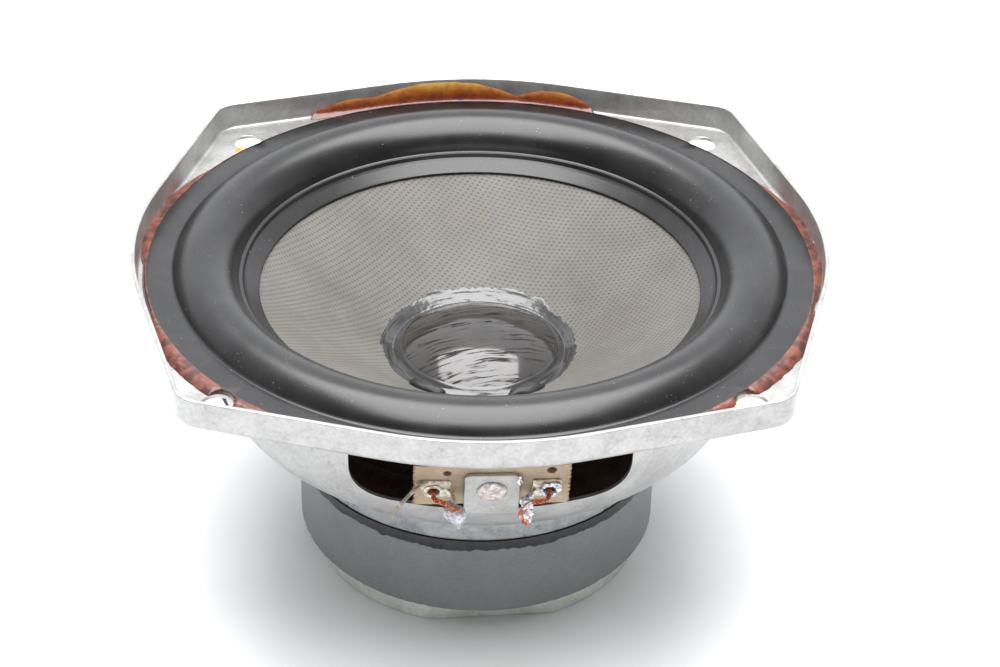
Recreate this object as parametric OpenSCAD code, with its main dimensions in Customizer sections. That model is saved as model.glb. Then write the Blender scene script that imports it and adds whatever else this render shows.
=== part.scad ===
// Car speaker driver with a pressed steel basket, a ferrite ring motor, a woven
// cone on a half-roll rubber surround and a two-lug terminal board.
// Millimetres. The origin is at the centre of the back plate's underside, +Z points
// out of the cone, and the terminals face -Y.

/* [Basket rim] */
// Radius of the round sides of the rim
rim_r = 83.6; // [80:0.1:90]
// Distance of each corner arc's centre from the X and Y axes
corner_at = 61.4; // [60:0.1:63]
// Radius of each corner arc
corner_r = 7.5; // [6:0.1:9]
// Height of the underside of the mounting flange
flange_z = 77.8; // [76:0.1:80]
// Height of the upstanding lip, from the flange's underside
lip_h = 7.8; // [6:0.1:9]
// Thickness of the pressed steel sheet
sheet = 1; // [0.8:0.1:1.2]
// Distance between neighbouring mounting holes, centre to centre
hole_spacing = 119; // [115:0.5:122]
// Radius of each mounting hole
hole_r = 3.6; // [2.5:0.1:4]

/* [Basket bowl] */
// Outside radius of the bowl where it leaves the flange
bowl_top_r = 71.9; // [71.5:0.1:73]
// Outside radius of the bowl where it turns into the spider shelf
bowl_foot_r = 56.2; // [55:0.1:58]
// Height of the underside of the spider shelf
shelf_z = 42.6; // [41:0.1:44]
// Radius at which the bowl's side would meet its sloping foot
bowl_bend_r = 67.3; // [66:0.1:68.5]
// Height at which the bowl's side would meet its sloping foot
bowl_bend_z = 47; // [45:0.1:49]
// Radius of the hole in the middle of the basket
basket_bore_r = 22; // [21:0.5:26]
// Radius of the foot that stands on the top plate
foot_r = 43.5; // [42:0.1:44.5]
// Width of each window in the side of the bowl
window_w = 64; // [58:0.5:66]
// Height of the lower edge of the windows
window_z = 54.3; // [53:0.1:56]
// Height of the windows
window_h = 18.7; // [16:0.1:20]
// Turn of the windows and terminals against the mounting holes, in degrees
window_turn = 1.2; // [0:0.1:3]

/* [Terminals] */
// Width of the tab that carries the terminal board
tab_w = 12.4; // [10:0.1:14]
// Length of that tab along its slope
tab_len = 12.8; // [11:0.1:14]
// Lean of the tab and board away from upright, in degrees
tab_lean = 17.8; // [16:0.1:19]
// Width of the terminal board
board_w = 35.2; // [32:0.1:38]
// Height of the terminal board along its slope
board_h = 14.6; // [13:0.1:15.5]
// Thickness of the terminal board
board_t = 1.2; // [1:0.1:1.6]
// Number of teeth along each pinked end of the board
pink_teeth = 8; // [6:1:12]
// Depth of those teeth
pink_depth = 0.9; // [0.5:0.1:1.2]
// Distance of each lug's eyelet from the middle of the board
eyelet_x = 13; // [12:0.1:14]
// Radius of the hole through each eyelet
eyelet_bore_r = 1.35; // [1.2:0.05:1.5]
// Radius of each braided lead
lead_r = 0.8; // [0.6:0.1:0.9]

/* [Motor] */
// Radius of the ring magnet and the top plate
magnet_r = 45; // [44.5:0.1:46]
// Radius of the hole through the magnet
magnet_bore_r = 24; // [22:0.5:28]
// Radius of the back plate before its flats are cut
back_r = 41.9; // [41:0.1:43]
// Distance of the back plate's flats from the axis
back_flat = 39; // [38:0.1:41]
// Turn of the flats about the axis, in degrees
back_turn = 4.2; // [0:0.1:10]
// Thickness of the back plate
back_t = 6.6; // [6:0.1:7.5]
// Height of the top of the magnet
magnet_z = 28.5; // [27:0.1:29.5]
// Height of the top of the top plate
plate_z = 34; // [33:0.1:35]
// Radius of the pole piece
pole_r = 17.1; // [16.5:0.05:17.1]
// Radius of the pole piece's spigot, pressed into the back plate
spigot_r = 12; // [10:0.5:14]
// Height of the top of the pole piece
pole_z = 35; // [34:0.1:36]
// Radius of the hole in the top plate, the outside of the magnetic gap
gap_r = 19.1; // [19.1:0.05:19.5]

/* [Moving system] */
// Inside radius of the coil former
former_r = 17.45; // [17.45:0.05:17.5]
// Thickness of the coil former
former_t = 0.3; // [0.2:0.05:0.3]
// Thickness of the coil winding
coil_t = 0.9; // [0.6:0.05:0.9]
// Height of the coil winding
coil_h = 12; // [8:0.5:13]
// Radius of the cone's outer edge
cone_r = 58; // [57.5:0.1:58]
// Height of the cone's face at its outer edge
cone_z = 75.1; // [74.8:0.05:75.1]
// Slope of the cone, in degrees
cone_slope = 30.4; // [29:0.1:31]
// Thickness of the cone
cone_t = 0.8; // [0.6:0.1:1]
// Radius of the dust cap's dome
cap_r = 18.8; // [18.5:0.1:19]
// Height of the edge of that dome
cap_z = 55.3; // [55.2:0.05:55.4]
// Rise of the dome over its edge
cap_rise = 4.7; // [4:0.1:5]
// Outside radius of the glue round the dust cap
cap_glue_r = 24.8; // [23.5:0.1:25.5]

/* [Suspension] */
// Radius of the surround's outer edge
surround_r = 80.9; // [80:0.1:81]
// Radius at the middle of the surround's roll
roll_mid_r = 66.6; // [66.4:0.1:66.7]
// Height of the centre of that roll's arc
roll_mid_z = 75.6; // [75.5:0.05:75.7]
// Outside radius of that arc
roll_r = 8.5; // [8.4:0.05:8.55]
// Thickness of the surround
surround_t = 1.1; // [1:0.05:1.1]
// Radius of the surround's inner edge on the cone
surround_inner_r = 53.55; // [53:0.05:54]
// Outside radius of the spider
spider_r = 54.5; // [53:0.1:55]
// Number of corrugations in the spider
spider_waves = 6; // [5:1:7]
// Height of each corrugation
spider_wave_h = 3; // [2:0.1:3.2]
// Thickness of the spider
spider_t = 0.6; // [0.5:0.05:0.7]

/* [Hidden] */

$fn = 96;
cut = 0.5;              // overrun of a cutting tool past a face
body_gap = 0.3;         // air between a moving piece and a fixed one
flange_top = flange_z + sheet;
shelf_top = shelf_z + sheet;
step_r = foot_r + 4;    // radius where the step rises into the shelf
board_r = 66;           // radius of the tab's outer face at the window's lower edge
board_y = sheet;        // depth of the board's front face behind the tab's
board_s = 0.9;          // height of the board's lower edge along the slope
eyelet_s = 6.7;         // height of the eyelets along the slope
rivet_s = 7;            // height of the board's rivet along the slope
rivet_shank_r = 1.6;
rivet_head_r = 3.5;
lug_t = 0.5;
eyelet_wall = 0.35;
plate_rivet_at = 34;    // distance of the basket's rivets from the axis
plate_rivet_r = 2;
former_out = former_r + former_t;
coil_mid_z = (magnet_z + plate_z) / 2;
cone_foot_z = 49.5;     // lower end of the collar that joins cone and former
anchor_r = 25.5;        // distance of the lead anchors from the axis
anchor_turn = 30;       // turn of each anchor off the -Y axis, in degrees
anchor_skew = -3;       // turn of the pair of anchors, in degrees
anchor_hole_r = 1;
side_steps = 10;        // straight lengths along each round side of the rim
corner_steps = 8;       // straight lengths along each corner arc of the rim
bowl_steps = 14;        // straight lengths along the bowl's curve
roll_steps = 20;        // straight lengths along the surround's roll
roll_end = 172;         // angle at which the roll's arc meets the lap on the cone
wave_steps = 8;         // straight lengths along one corrugation
cap_steps = 10;         // straight lengths along the dome
lead_sides = 8;

// Routes of the leads, from the solder through the eyelet to the back of the cone.
route_left = [
    [-6.9, -72.6, 59.4], [-8.6, -72.2, 60.4], [-10.3, -71.2, 60.4],
    [-11.5, -69.8, 60.2], [-11.6, -68, 60.8], [-11.6, -65.6, 61.6],
    [-11.8, -62, 61.6], [-12, -58, 59.6], [-12.2, -54, 57], [-12.4, -50, 54.8],
    [-12.6, -45, 53], [-12.8, -40, 52], [-13, -35, 51.4], [-13.1, -30, 51.2],
    [-13.4, -26, 51.8], [-13.6, -22.8, 52.6]
];
route_right = [
    [8.8, -72.6, 60.6], [10.2, -72.2, 61], [12, -71.6, 60.8],
    [13.8, -70, 60.2], [14.4, -67.4, 60.8], [14.4, -65, 61.6],
    [14.2, -61.5, 61.6], [13.8, -57.5, 59.6], [13.4, -53.5, 57], [13, -49.5, 54.8],
    [12.6, -44.5, 53], [12.2, -39.5, 52], [11.8, -34.5, 51.4], [11.6, -30, 51.2],
    [11.5, -26.4, 51.8], [11.4, -23.4, 52.6]
];

// Height of the cone's face at radius r.
function cone_face(r) = cone_z - (cone_r - r) * tan(cone_slope);

// Point on the outside of the bowl, with t from 0 at the flange to 1 at the shelf.
function bowl_point(t) =
    pow(1 - t, 2) * [bowl_top_r, flange_z]
    + 2 * t * (1 - t) * [bowl_bend_r, bowl_bend_z]
    + t * t * [bowl_foot_r, shelf_z];
// Direction of that curve at t.
function bowl_run(t) =
    (1 - t) * ([bowl_bend_r, bowl_bend_z] - [bowl_top_r, flange_z])
    + t * ([bowl_foot_r, shelf_z] - [bowl_bend_r, bowl_bend_z]);
// Point on the inside of the bowl, one sheet's thickness in.
function bowl_inside(t) =
    let (run = bowl_run(t)) bowl_point(t) + sheet * [run[1], -run[0]] / norm(run);

// Point on the surround's roll, at radius r about its centre and turned by a degrees.
function roll_point(r, a) = [roll_mid_r + r * cos(a), roll_mid_z + r * sin(a)];

// Height of the middle of the spider's cloth at radius r.
function spider_mid(r, from, to) =
    shelf_top + spider_t / 2
    + spider_wave_h * (1 - cos(360 * spider_waves * (r - from) / (to - from))) / 2;

// Unit vector along v.
function unit(v) = v / norm(v);

// Outline of the rim, moved in by inset: four round sides and four corner arcs,
// joined by straight runs that are tangent to both.
module rim_outline(inset = 0) {
    lean = acos((rim_r - corner_r) / (corner_at * sqrt(2)));
    side_a = 45 - lean;
    polygon([for (turn = [0:90:270])
        each concat(
            [for (i = [0:side_steps])
                let (a = turn - side_a + 2 * side_a * i / side_steps)
                    (rim_r - inset) * [cos(a), sin(a)]],
            [for (i = [0:corner_steps])
                let (a = turn + side_a + 2 * lean * i / corner_steps)
                    corner_at * sqrt(2) * [cos(turn + 45), sin(turn + 45)]
                    + (corner_r - inset) * [cos(a), sin(a)]]
        )]);
}

// Outline of a window: wide, with big lower corners and smaller upper ones.
module window_outline() {
    low_r = 10;
    high_r = 4;
    half = window_w / 2;
    translate([-half, low_r]) square([window_w, window_h - low_r - high_r]);
    translate([low_r - half, 0]) square([window_w - 2 * low_r, window_h]);
    translate([high_r - half, low_r])
        square([window_w - 2 * high_r, window_h - low_r]);
    for (side = [-1, 1]) {
        translate([side * (half - low_r), low_r]) circle(r = low_r);
        translate([side * (half - high_r), window_h - high_r]) circle(r = high_r);
    }
}

// Outline of the tab, standing on the X axis with rounded upper corners.
module tab_outline() {
    bend = 2;
    half = tab_w / 2;
    translate([-half, -bend]) square([tab_w, tab_len]);
    translate([bend - half, -bend]) square([tab_w - 2 * bend, tab_len + bend]);
    for (side = [-1, 1])
        translate([side * (half - bend), tab_len - bend]) circle(r = bend);
}

// Puts its children at the tab: X across, Y inwards through it, Z up its slope.
module at_tab() {
    rotate([0, 0, window_turn])
        translate([0, -board_r, window_z])
            rotate([tab_lean, 0, 0])
                children();
}

// A cylinder along the tab's depth, from y = from to y = to at [x, s].
module tab_pin(x, s, r, from, to) {
    translate([x, to, s]) rotate([90, 0, 0]) cylinder(r = r, h = to - from);
}

// Tube of radius r through the points of route, closed at both ends.
module tube(route, r) {
    last = len(route) - 1;
    rings = [for (i = [0:last])
        let (
            along = unit(route[min(i + 1, last)] - route[max(i - 1, 0)]),
            across = unit(cross(along, [0, 0, 1])),
            up = cross(across, along)
        )
        for (k = [0:lead_sides - 1])
            let (a = 360 * k / lead_sides)
                route[i] + r * (cos(a) * across + sin(a) * up)
    ];
    sides = [for (i = [0:last - 1], k = [0:lead_sides - 1])
        let (
            a = i * lead_sides + k,
            b = i * lead_sides + (k + 1) % lead_sides
        )
        each [[a, b, b + lead_sides], [a, b + lead_sides, a + lead_sides]]
    ];
    near = [[for (k = [lead_sides - 1:-1:0]) k]];
    far = [[for (k = [0:lead_sides - 1]) last * lead_sides + k]];
    polyhedron(points = rings, faces = concat(sides, near, far));
}

// Flat strip that joins two points given in the tab's own directions.
module strip(from, to, half) {
    hull() {
        translate(from) cube([lug_t, lug_t, 2 * half], center = true);
        translate(to) cube([lug_t, lug_t, 2 * half], center = true);
    }
}

module basket() {
    curve = [for (i = [0:bowl_steps]) i / bowl_steps];
    outside = [for (t = curve) bowl_point(t)];
    inside = [for (i = [bowl_steps:-1:1]) bowl_inside(curve[i])];
    top_in = bowl_top_r - sheet;
    color("silver") {
        difference() {
            union() {
                // flange and lip
                translate([0, 0, flange_z])
                    difference() {
                        linear_extrude(lip_h) rim_outline();
                        translate([0, 0, sheet])
                            linear_extrude(lip_h) rim_outline(sheet);
                        translate([0, 0, -cut])
                            cylinder(r = bowl_top_r - sheet / 2, h = lip_h);
                    }
                // bowl, spider shelf, step and foot
                rotate_extrude()
                    polygon(concat(
                        [[top_in, flange_top], [bowl_top_r, flange_top]],
                        outside,
                        [[step_r, shelf_z], [foot_r, plate_z],
                            [basket_bore_r, plate_z],
                            [basket_bore_r, plate_z + sheet],
                            [foot_r - sheet, plate_z + sheet],
                            [step_r - sheet, shelf_top]],
                        inside
                    ));
            }
            for (turn = [0:90:270])
                rotate(turn + window_turn)
                    translate([0, -(bowl_foot_r - 2), window_z])
                        rotate([90, 0, 0])
                            linear_extrude(25)
                                window_outline();
            for (x = [-1, 1], y = [-1, 1])
                translate([x, y, 0] * hole_spacing / 2 + [0, 0, flange_z - cut])
                    cylinder(r = hole_r, h = sheet + 2 * cut);
            for (turn = [45:90:315])
                rotate(turn)
                    translate([plate_rivet_at, 0, plate_z - cut])
                        cylinder(r = plate_rivet_r, h = sheet + 2 * cut);
        }
        // tab left standing in the front window
        at_tab()
            difference() {
                translate([0, sheet, 0])
                    rotate([90, 0, 0])
                        linear_extrude(sheet)
                            tab_outline();
                tab_pin(0, rivet_s, rivet_shank_r, -cut, sheet + cut);
            }
    }
}

module surround_adhesive() {
    bead_w = 1.4;
    bead_h = 1.2;
    color("sienna")
        rotate_extrude()
            polygon([
                [surround_r, flange_top], [surround_r + bead_w, flange_top],
                [surround_r + bead_w, flange_top + bead_h / 3],
                [surround_r + bead_w / 2, flange_top + bead_h],
                [surround_r, flange_top + bead_h]
            ]);
}

module surround() {
    foot = flange_top - roll_mid_z;
    under_r = roll_r - surround_t;
    over_from = asin((foot + surround_t) / roll_r);
    under_from = asin(foot / under_r);
    over = [for (i = [0:roll_steps])
        roll_point(roll_r, over_from + (roll_end - over_from) * i / roll_steps)];
    under = [for (i = [roll_steps:-1:0])
        roll_point(under_r, under_from + (roll_end - under_from) * i / roll_steps)];
    lap_t = 0.6;
    inner_r = surround_inner_r;
    color("dimgray")
        rotate_extrude()
            polygon(concat(
                [[surround_r, flange_top], [surround_r, flange_top + surround_t]],
                over,
                [[58.0, 76.35], [inner_r, cone_face(inner_r) + body_gap + lap_t],
                    [inner_r, cone_face(inner_r) + body_gap],
                    [cone_r + 0.9, cone_face(cone_r + 0.9) + body_gap]],
                under
            ));
}

module spider() {
    land_in = 21;
    land_out = 50;
    inner_r = former_out + body_gap;
    count = spider_waves * wave_steps;
    radii = [for (i = [0:count]) land_in + (land_out - land_in) * i / count];
    half = spider_t / 2;
    color("wheat")
        rotate_extrude()
            polygon(concat(
                [[inner_r, shelf_top]],
                [for (r = radii) [r, spider_mid(r, land_in, land_out) - half]],
                [[spider_r, shelf_top], [spider_r, shelf_top + spider_t]],
                [for (i = [count:-1:0])
                    [radii[i], spider_mid(radii[i], land_in, land_out) + half]],
                [[inner_r, shelf_top + spider_t]]
            ));
}

module top_plate() {
    edge = 0.5;
    color("lightsteelblue")
        difference() {
            rotate_extrude()
                polygon([
                    [gap_r, magnet_z], [magnet_r, magnet_z],
                    [magnet_r, plate_z - edge], [magnet_r - edge, plate_z],
                    [gap_r, plate_z]
                ]);
            for (turn = [45:90:315])
                rotate(turn)
                    translate([plate_rivet_at, 0, magnet_z - cut])
                        cylinder(r = plate_rivet_r, h = plate_z - magnet_z + 2 * cut);
        }
}

module magnet() {
    edge = 0.6;
    color("gray")
        rotate_extrude()
            polygon([
                [magnet_bore_r, back_t], [magnet_r - edge, back_t],
                [magnet_r, back_t + edge], [magnet_r, magnet_z],
                [magnet_bore_r, magnet_z]
            ]);
}

module magnet_adhesive() {
    band_h = 2.9;
    band_t = 0.4;
    color("black")
        translate([0, 0, magnet_z - band_h])
            difference() {
                cylinder(r = magnet_r + band_t, h = band_h);
                translate([0, 0, -cut]) cylinder(r = magnet_r, h = band_h + 2 * cut);
            }
}

module back_plate() {
    edge = 0.7;
    color("darkseagreen")
        difference() {
            intersection() {
                rotate_extrude()
                    polygon([
                        [0, 0], [back_r - edge, 0], [back_r, edge],
                        [back_r, back_t - edge], [back_r - edge, back_t], [0, back_t]
                    ]);
                rotate(back_turn)
                    translate([-back_flat, -back_flat, -cut])
                        cube([2 * back_flat, 2 * back_flat, back_t + 2 * cut]);
            }
            translate([0, 0, -cut]) cylinder(r = spigot_r, h = back_t + 2 * cut);
        }
}

module pole_piece() {
    edge = 0.8;
    color("darkseagreen")
        rotate_extrude()
            polygon([
                [0, 0], [spigot_r, 0], [spigot_r, back_t], [pole_r, back_t],
                [pole_r, pole_z - edge], [pole_r - edge, pole_z], [0, pole_z]
            ]);
}

module plate_rivets() {
    head_r = 3.6;
    head_h = 1.5;
    seat = plate_z + sheet;
    color("silver")
        for (turn = [45:90:315])
            rotate(turn)
                translate([plate_rivet_at, 0, 0])
                    rotate_extrude()
                        polygon([
                            [0, magnet_z], [plate_rivet_r, magnet_z],
                            [plate_rivet_r, seat], [head_r, seat],
                            [head_r, seat + head_h / 3],
                            [head_r - 1.2, seat + head_h], [0, seat + head_h]
                        ]);
}

module terminal_board() {
    half = board_w / 2;
    pitch = board_h / pink_teeth;
    // one end, as a zig-zag on the side given by side
    right = [for (i = [0:pink_teeth - 1])
        each [[half, board_s + i * pitch],
            [half - pink_depth, board_s + (i + 0.5) * pitch]]];
    left = [for (i = [pink_teeth - 1:-1:0])
        each [[pink_depth - half, board_s + (i + 0.5) * pitch],
            [-half, board_s + i * pitch]]];
    color("burlywood")
        at_tab()
            difference() {
                translate([0, board_y + board_t, 0])
                    rotate([90, 0, 0])
                        linear_extrude(board_t)
                            polygon(concat(
                                right,
                                [[half, board_s + board_h],
                                    [-half, board_s + board_h]],
                                left
                            ));
                tab_pin(0, rivet_s, rivet_shank_r, 0, 3);
                for (side = [-1, 1])
                    tab_pin(side * eyelet_x, eyelet_s,
                        eyelet_bore_r + eyelet_wall, 0, 3);
                // spare holes above the lugs
                tab_pin(-10, 12.6, 0.9, 0, 3);
                tab_pin(13.2, 13.4, 1.1, 0, 3);
            }
}

module board_rivet() {
    back = board_y + board_t;
    color("tan")
        at_tab() {
            tab_pin(0, rivet_s, rivet_head_r, -0.5, 0);
            tab_pin(0, rivet_s, rivet_head_r - 0.8, -0.9, -0.5);
            tab_pin(0, rivet_s, rivet_shank_r, 0, back);
            tab_pin(0, rivet_s, rivet_shank_r + 1, back, back + 0.7);
        }
}

// A lug's plate against the board, with its tongue turned out towards the middle.
// side is -1 on the left and 1 on the right.
module lug_plate(side) {
    mirror([side < 0 ? 1 : 0, 0, 0]) {
        difference() {
            translate([0, board_y, 0])
                rotate([90, 0, 0])
                    linear_extrude(lug_t)
                        polygon([
                            [9.2, 10.2], [15.4, 10.4], [15.7, 7.2],
                            [14.8, 4.4], [8.8, 4.2]
                        ]);
            tab_pin(eyelet_x, eyelet_s, eyelet_bore_r + eyelet_wall,
                board_y - 2 * lug_t, board_y + cut);
        }
        strip([9.1, board_y - lug_t / 2, 6.2], [8.2, -3.4, 6], 1.2);
    }
}

module lug_left() {
    mid_y = board_y - lug_t / 2;
    color("silver")
        at_tab() {
            lug_plate(-1);
            // long free tail, bent out through the window and down
            strip([-15, mid_y, 9.2], [-16.8, -0.6, 9.4], 1);
            strip([-16.8, -0.6, 9.4], [-20, -4, 9.2], 1);
            strip([-20, -4, 9.2], [-22.6, -7, 7.2], 1);
        }
}

module lug_right() {
    color("silver")
        at_tab() lug_plate(1);
}

// Tubular rivet that fastens a lug to the board.
module eyelet(side) {
    barrel_r = eyelet_bore_r + eyelet_wall;
    head_t = 0.3;
    front = board_y - lug_t;
    back = board_y + board_t;
    color("silver")
        at_tab()
            difference() {
                union() {
                    tab_pin(side * eyelet_x, eyelet_s, barrel_r + 0.6,
                        front - head_t, front);
                    tab_pin(side * eyelet_x, eyelet_s, barrel_r, front, back);
                    tab_pin(side * eyelet_x, eyelet_s, barrel_r + 0.5,
                        back, back + head_t);
                }
                tab_pin(side * eyelet_x, eyelet_s, eyelet_bore_r,
                    front - 2 * head_t, back + 2 * head_t);
            }
}

module eyelet_left() { eyelet(-1); }

module eyelet_right() { eyelet(1); }

// Blob of solder round the Z axis: a ball of radius r at the origin, stretched
// downwards by body and drawn out to a point by tail.
module solder_blob(r, body, tail) {
    arc_steps = 8;
    rotate_extrude()
        polygon(concat(
            [for (i = [0:arc_steps])
                let (a = 90 - 90 * i / arc_steps) r * [cos(a), sin(a)]],
            [for (i = [0:arc_steps - 2])
                let (a = 90 * i / arc_steps) [r * cos(a), -body - r * sin(a)]],
            [[0.5, -body - r - tail * 0.3], [0, -body - r - tail]]
        ));
}

module solder_left() {
    color("lightgray")
        translate(route_left[0] + [0, -0.3, -0.4]) solder_blob(2.3, 0.4, 2.4);
}

module solder_right() {
    color("lightgray")
        translate(route_right[0] + [0, -0.3, 0.6])
            rotate([14, 0, 0]) solder_blob(1.7, 4.4, 0.6);
}

module tinsel_lead_left() { color("orangered") tube(route_left, lead_r); }

module tinsel_lead_right() { color("orangered") tube(route_right, lead_r); }

// Puts its children on the cone's face at a lead's anchor, with Z out of the face.
module at_anchor(side) {
    rotate(side * anchor_turn + anchor_skew)
        translate([0, -anchor_r, cone_face(anchor_r)])
            rotate([-cone_slope, 0, 0])
                children();
}

module cone() {
    down = cone_t / cos(cone_slope);
    collar_r = former_out + cone_t;
    color("rosybrown")
        difference() {
            rotate_extrude()
                polygon([
                    [former_out, cone_foot_z], [collar_r, cone_foot_z],
                    [collar_r, cone_face(collar_r) - down],
                    [cone_r, cone_face(cone_r) - down], [cone_r, cone_z],
                    [former_out, cone_face(former_out)]
                ]);
            for (side = [-1, 1])
                at_anchor(side)
                    translate([0, 0, -3]) cylinder(r = anchor_hole_r, h = 6);
        }
}

module dust_cap() {
    cap_t = 0.6;
    dome_r = (cap_r * cap_r + cap_rise * cap_rise) / (2 * cap_rise);
    centre_z = cap_z + cap_rise - dome_r;
    edge_a = asin(cap_r / dome_r);
    arc = [for (i = [0:cap_steps]) edge_a * i / cap_steps];
    skirt_r = 20.9;
    color("saddlebrown")
        rotate_extrude()
            polygon(concat(
                [for (a = arc) [dome_r * sin(a), centre_z + dome_r * cos(a)]],
                [[20, 54.3], [skirt_r, cone_face(skirt_r) + 0.2],
                    [skirt_r, cone_face(skirt_r)],
                    [19.9, cone_face(19.9)]],
                [for (i = [cap_steps:-1:0])
                    [(dome_r - cap_t) * sin(arc[i]),
                        centre_z + (dome_r - cap_t) * cos(arc[i])]]
            ));
}

module dust_cap_adhesive() {
    skirt_r = 20.9;
    color("slategray")
        rotate_extrude()
            polygon([
                [cap_r + 0.1, cap_z - 0.1], [20, 54.3],
                [skirt_r, cone_face(skirt_r) + 0.2], [skirt_r, cone_face(skirt_r)],
                [cap_glue_r, cone_face(cap_glue_r)],
                [23.4, 55.35], [21.2, 55.3]
            ]);
}

module coil_former() {
    former_top = 52.5;
    low = coil_mid_z - coil_h / 2;
    color("goldenrod")
        translate([0, 0, low])
            difference() {
                cylinder(r = former_out, h = former_top - low);
                translate([0, 0, -cut])
                    cylinder(r = former_r, h = former_top - low + 2 * cut);
            }
}

module coil_winding() {
    color("darkorange")
        translate([0, 0, coil_mid_z - coil_h / 2])
            difference() {
                cylinder(r = former_out + coil_t, h = coil_h);
                translate([0, 0, -cut])
                    cylinder(r = former_out, h = coil_h + 2 * cut);
            }
}

// Glue lump that ties a lead to the cone, through a hole in it.
module lead_anchor(side) {
    lump_r = 2.6;
    lump_h = 1.4;
    under_r = 1.6;
    under_h = 0.9;
    color("black")
        at_anchor(side)
            rotate_extrude()
                polygon([
                    [0, lump_h], [lump_r * 0.6, lump_h * 0.8], [lump_r, 0],
                    [anchor_hole_r, 0], [anchor_hole_r, -cone_t],
                    [under_r, -cone_t], [under_r * 0.7, -cone_t - under_h],
                    [0, -cone_t - under_h]
                ]);
}

module lead_anchor_left() { lead_anchor(-1); }

module lead_anchor_right() { lead_anchor(1); }

basket();
surround_adhesive();
surround();
spider();
top_plate();
magnet();
magnet_adhesive();
back_plate();
pole_piece();
plate_rivets();
terminal_board();
board_rivet();
lug_left();
lug_right();
eyelet_left();
eyelet_right();
solder_left();
solder_right();
tinsel_lead_left();
tinsel_lead_right();
cone();
dust_cap();
dust_cap_adhesive();
coil_former();
coil_winding();
lead_anchor_left();
lead_anchor_right();
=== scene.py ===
"""Looks of a car speaker driver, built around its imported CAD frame.

Each sub-assembly is a class that builds its meshes in millimetres, dresses them in
procedural finishes and hands them to the CAD body that they move with.
"""

import logging
import math
from dataclasses import dataclass
from enum import Enum
from typing import Any, Callable, Sequence

import bmesh
import bpy
import numpy as np
from mathutils import Matrix, Vector, noise


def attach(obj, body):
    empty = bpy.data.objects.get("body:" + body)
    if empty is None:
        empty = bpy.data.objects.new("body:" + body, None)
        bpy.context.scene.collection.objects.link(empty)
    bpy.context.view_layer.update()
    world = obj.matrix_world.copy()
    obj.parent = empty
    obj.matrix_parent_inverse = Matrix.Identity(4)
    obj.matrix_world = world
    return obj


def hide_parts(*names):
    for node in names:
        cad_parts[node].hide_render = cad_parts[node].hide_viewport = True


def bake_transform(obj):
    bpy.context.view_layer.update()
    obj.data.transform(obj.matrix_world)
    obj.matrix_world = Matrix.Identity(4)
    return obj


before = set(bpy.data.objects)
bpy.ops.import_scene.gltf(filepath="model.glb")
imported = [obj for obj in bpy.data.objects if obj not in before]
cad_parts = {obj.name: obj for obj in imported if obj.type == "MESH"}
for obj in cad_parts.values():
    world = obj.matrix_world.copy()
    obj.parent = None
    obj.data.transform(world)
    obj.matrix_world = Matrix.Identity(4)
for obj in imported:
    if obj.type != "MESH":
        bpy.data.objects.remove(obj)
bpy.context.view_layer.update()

LOG = logging.getLogger("driver")
MM = 0.001
TURN = 2 * math.pi

Colour = tuple[float, float, float]
Pair = tuple[float, float]


class Body(str, Enum):
    """The two CAD bodies that pieces move with."""

    FIXED = "frame_and_motor"
    MOVING = "cone_assembly"


class Side(int, Enum):
    """The two sides of the driver, as the sign of X."""

    LEFT = -1
    RIGHT = 1

    @property
    def label(self) -> str:
        """The side's name, as it stands in the names of pieces."""
        return self.name.lower()


class Join(str, Enum):
    """Ways to combine two solids, as the Boolean modifier names them."""

    CUT = "DIFFERENCE"
    ADD = "UNION"


# Shaders


class Wire:
    """A shader socket that takes part in sums and products as a number does."""

    def __init__(self, graph: "Graph", socket: bpy.types.NodeSocket) -> None:
        """Wraps one output socket of the graph."""
        self.graph = graph
        self.socket = socket

    def _sum(self, operation: str, *terms: Any) -> "Wire":
        """Adds a Math node of that operation over the terms."""
        return self.graph.node("ShaderNodeMath", {"operation": operation}, terms)

    def __add__(self, other: Any) -> "Wire":
        """self + other."""
        return self._sum("ADD", self, other)

    __radd__ = __add__

    def __sub__(self, other: Any) -> "Wire":
        """self - other."""
        return self._sum("SUBTRACT", self, other)

    def __rsub__(self, other: Any) -> "Wire":
        """other - self."""
        return self._sum("SUBTRACT", other, self)

    def __mul__(self, other: Any) -> "Wire":
        """self * other."""
        return self._sum("MULTIPLY", self, other)

    __rmul__ = __mul__

    def __truediv__(self, other: Any) -> "Wire":
        """self / other."""
        return self._sum("DIVIDE", self, other)

    def __pow__(self, other: Any) -> "Wire":
        """self ** other."""
        return self._sum("POWER", self, other)

    def sine(self) -> "Wire":
        """Sine of the value, in radians."""
        return self._sum("SINE", self)

    def size(self) -> "Wire":
        """The value without its sign."""
        return self._sum("ABSOLUTE", self)

    def step(self, low: float, high: float) -> "Wire":
        """Smooth step from 0 at low to 1 at high.

        Args:
            low: Value at which the step starts.
            high: Value at which it ends; below low for a falling step.

        Returns:
            The step, between 0 and 1.
        """
        settings = {"interpolation_type": "SMOOTHSTEP"}
        if low > high:
            return 1 - self.step(high, low)
        return self.graph.node("ShaderNodeMapRange", settings, (self, low, high))


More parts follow.
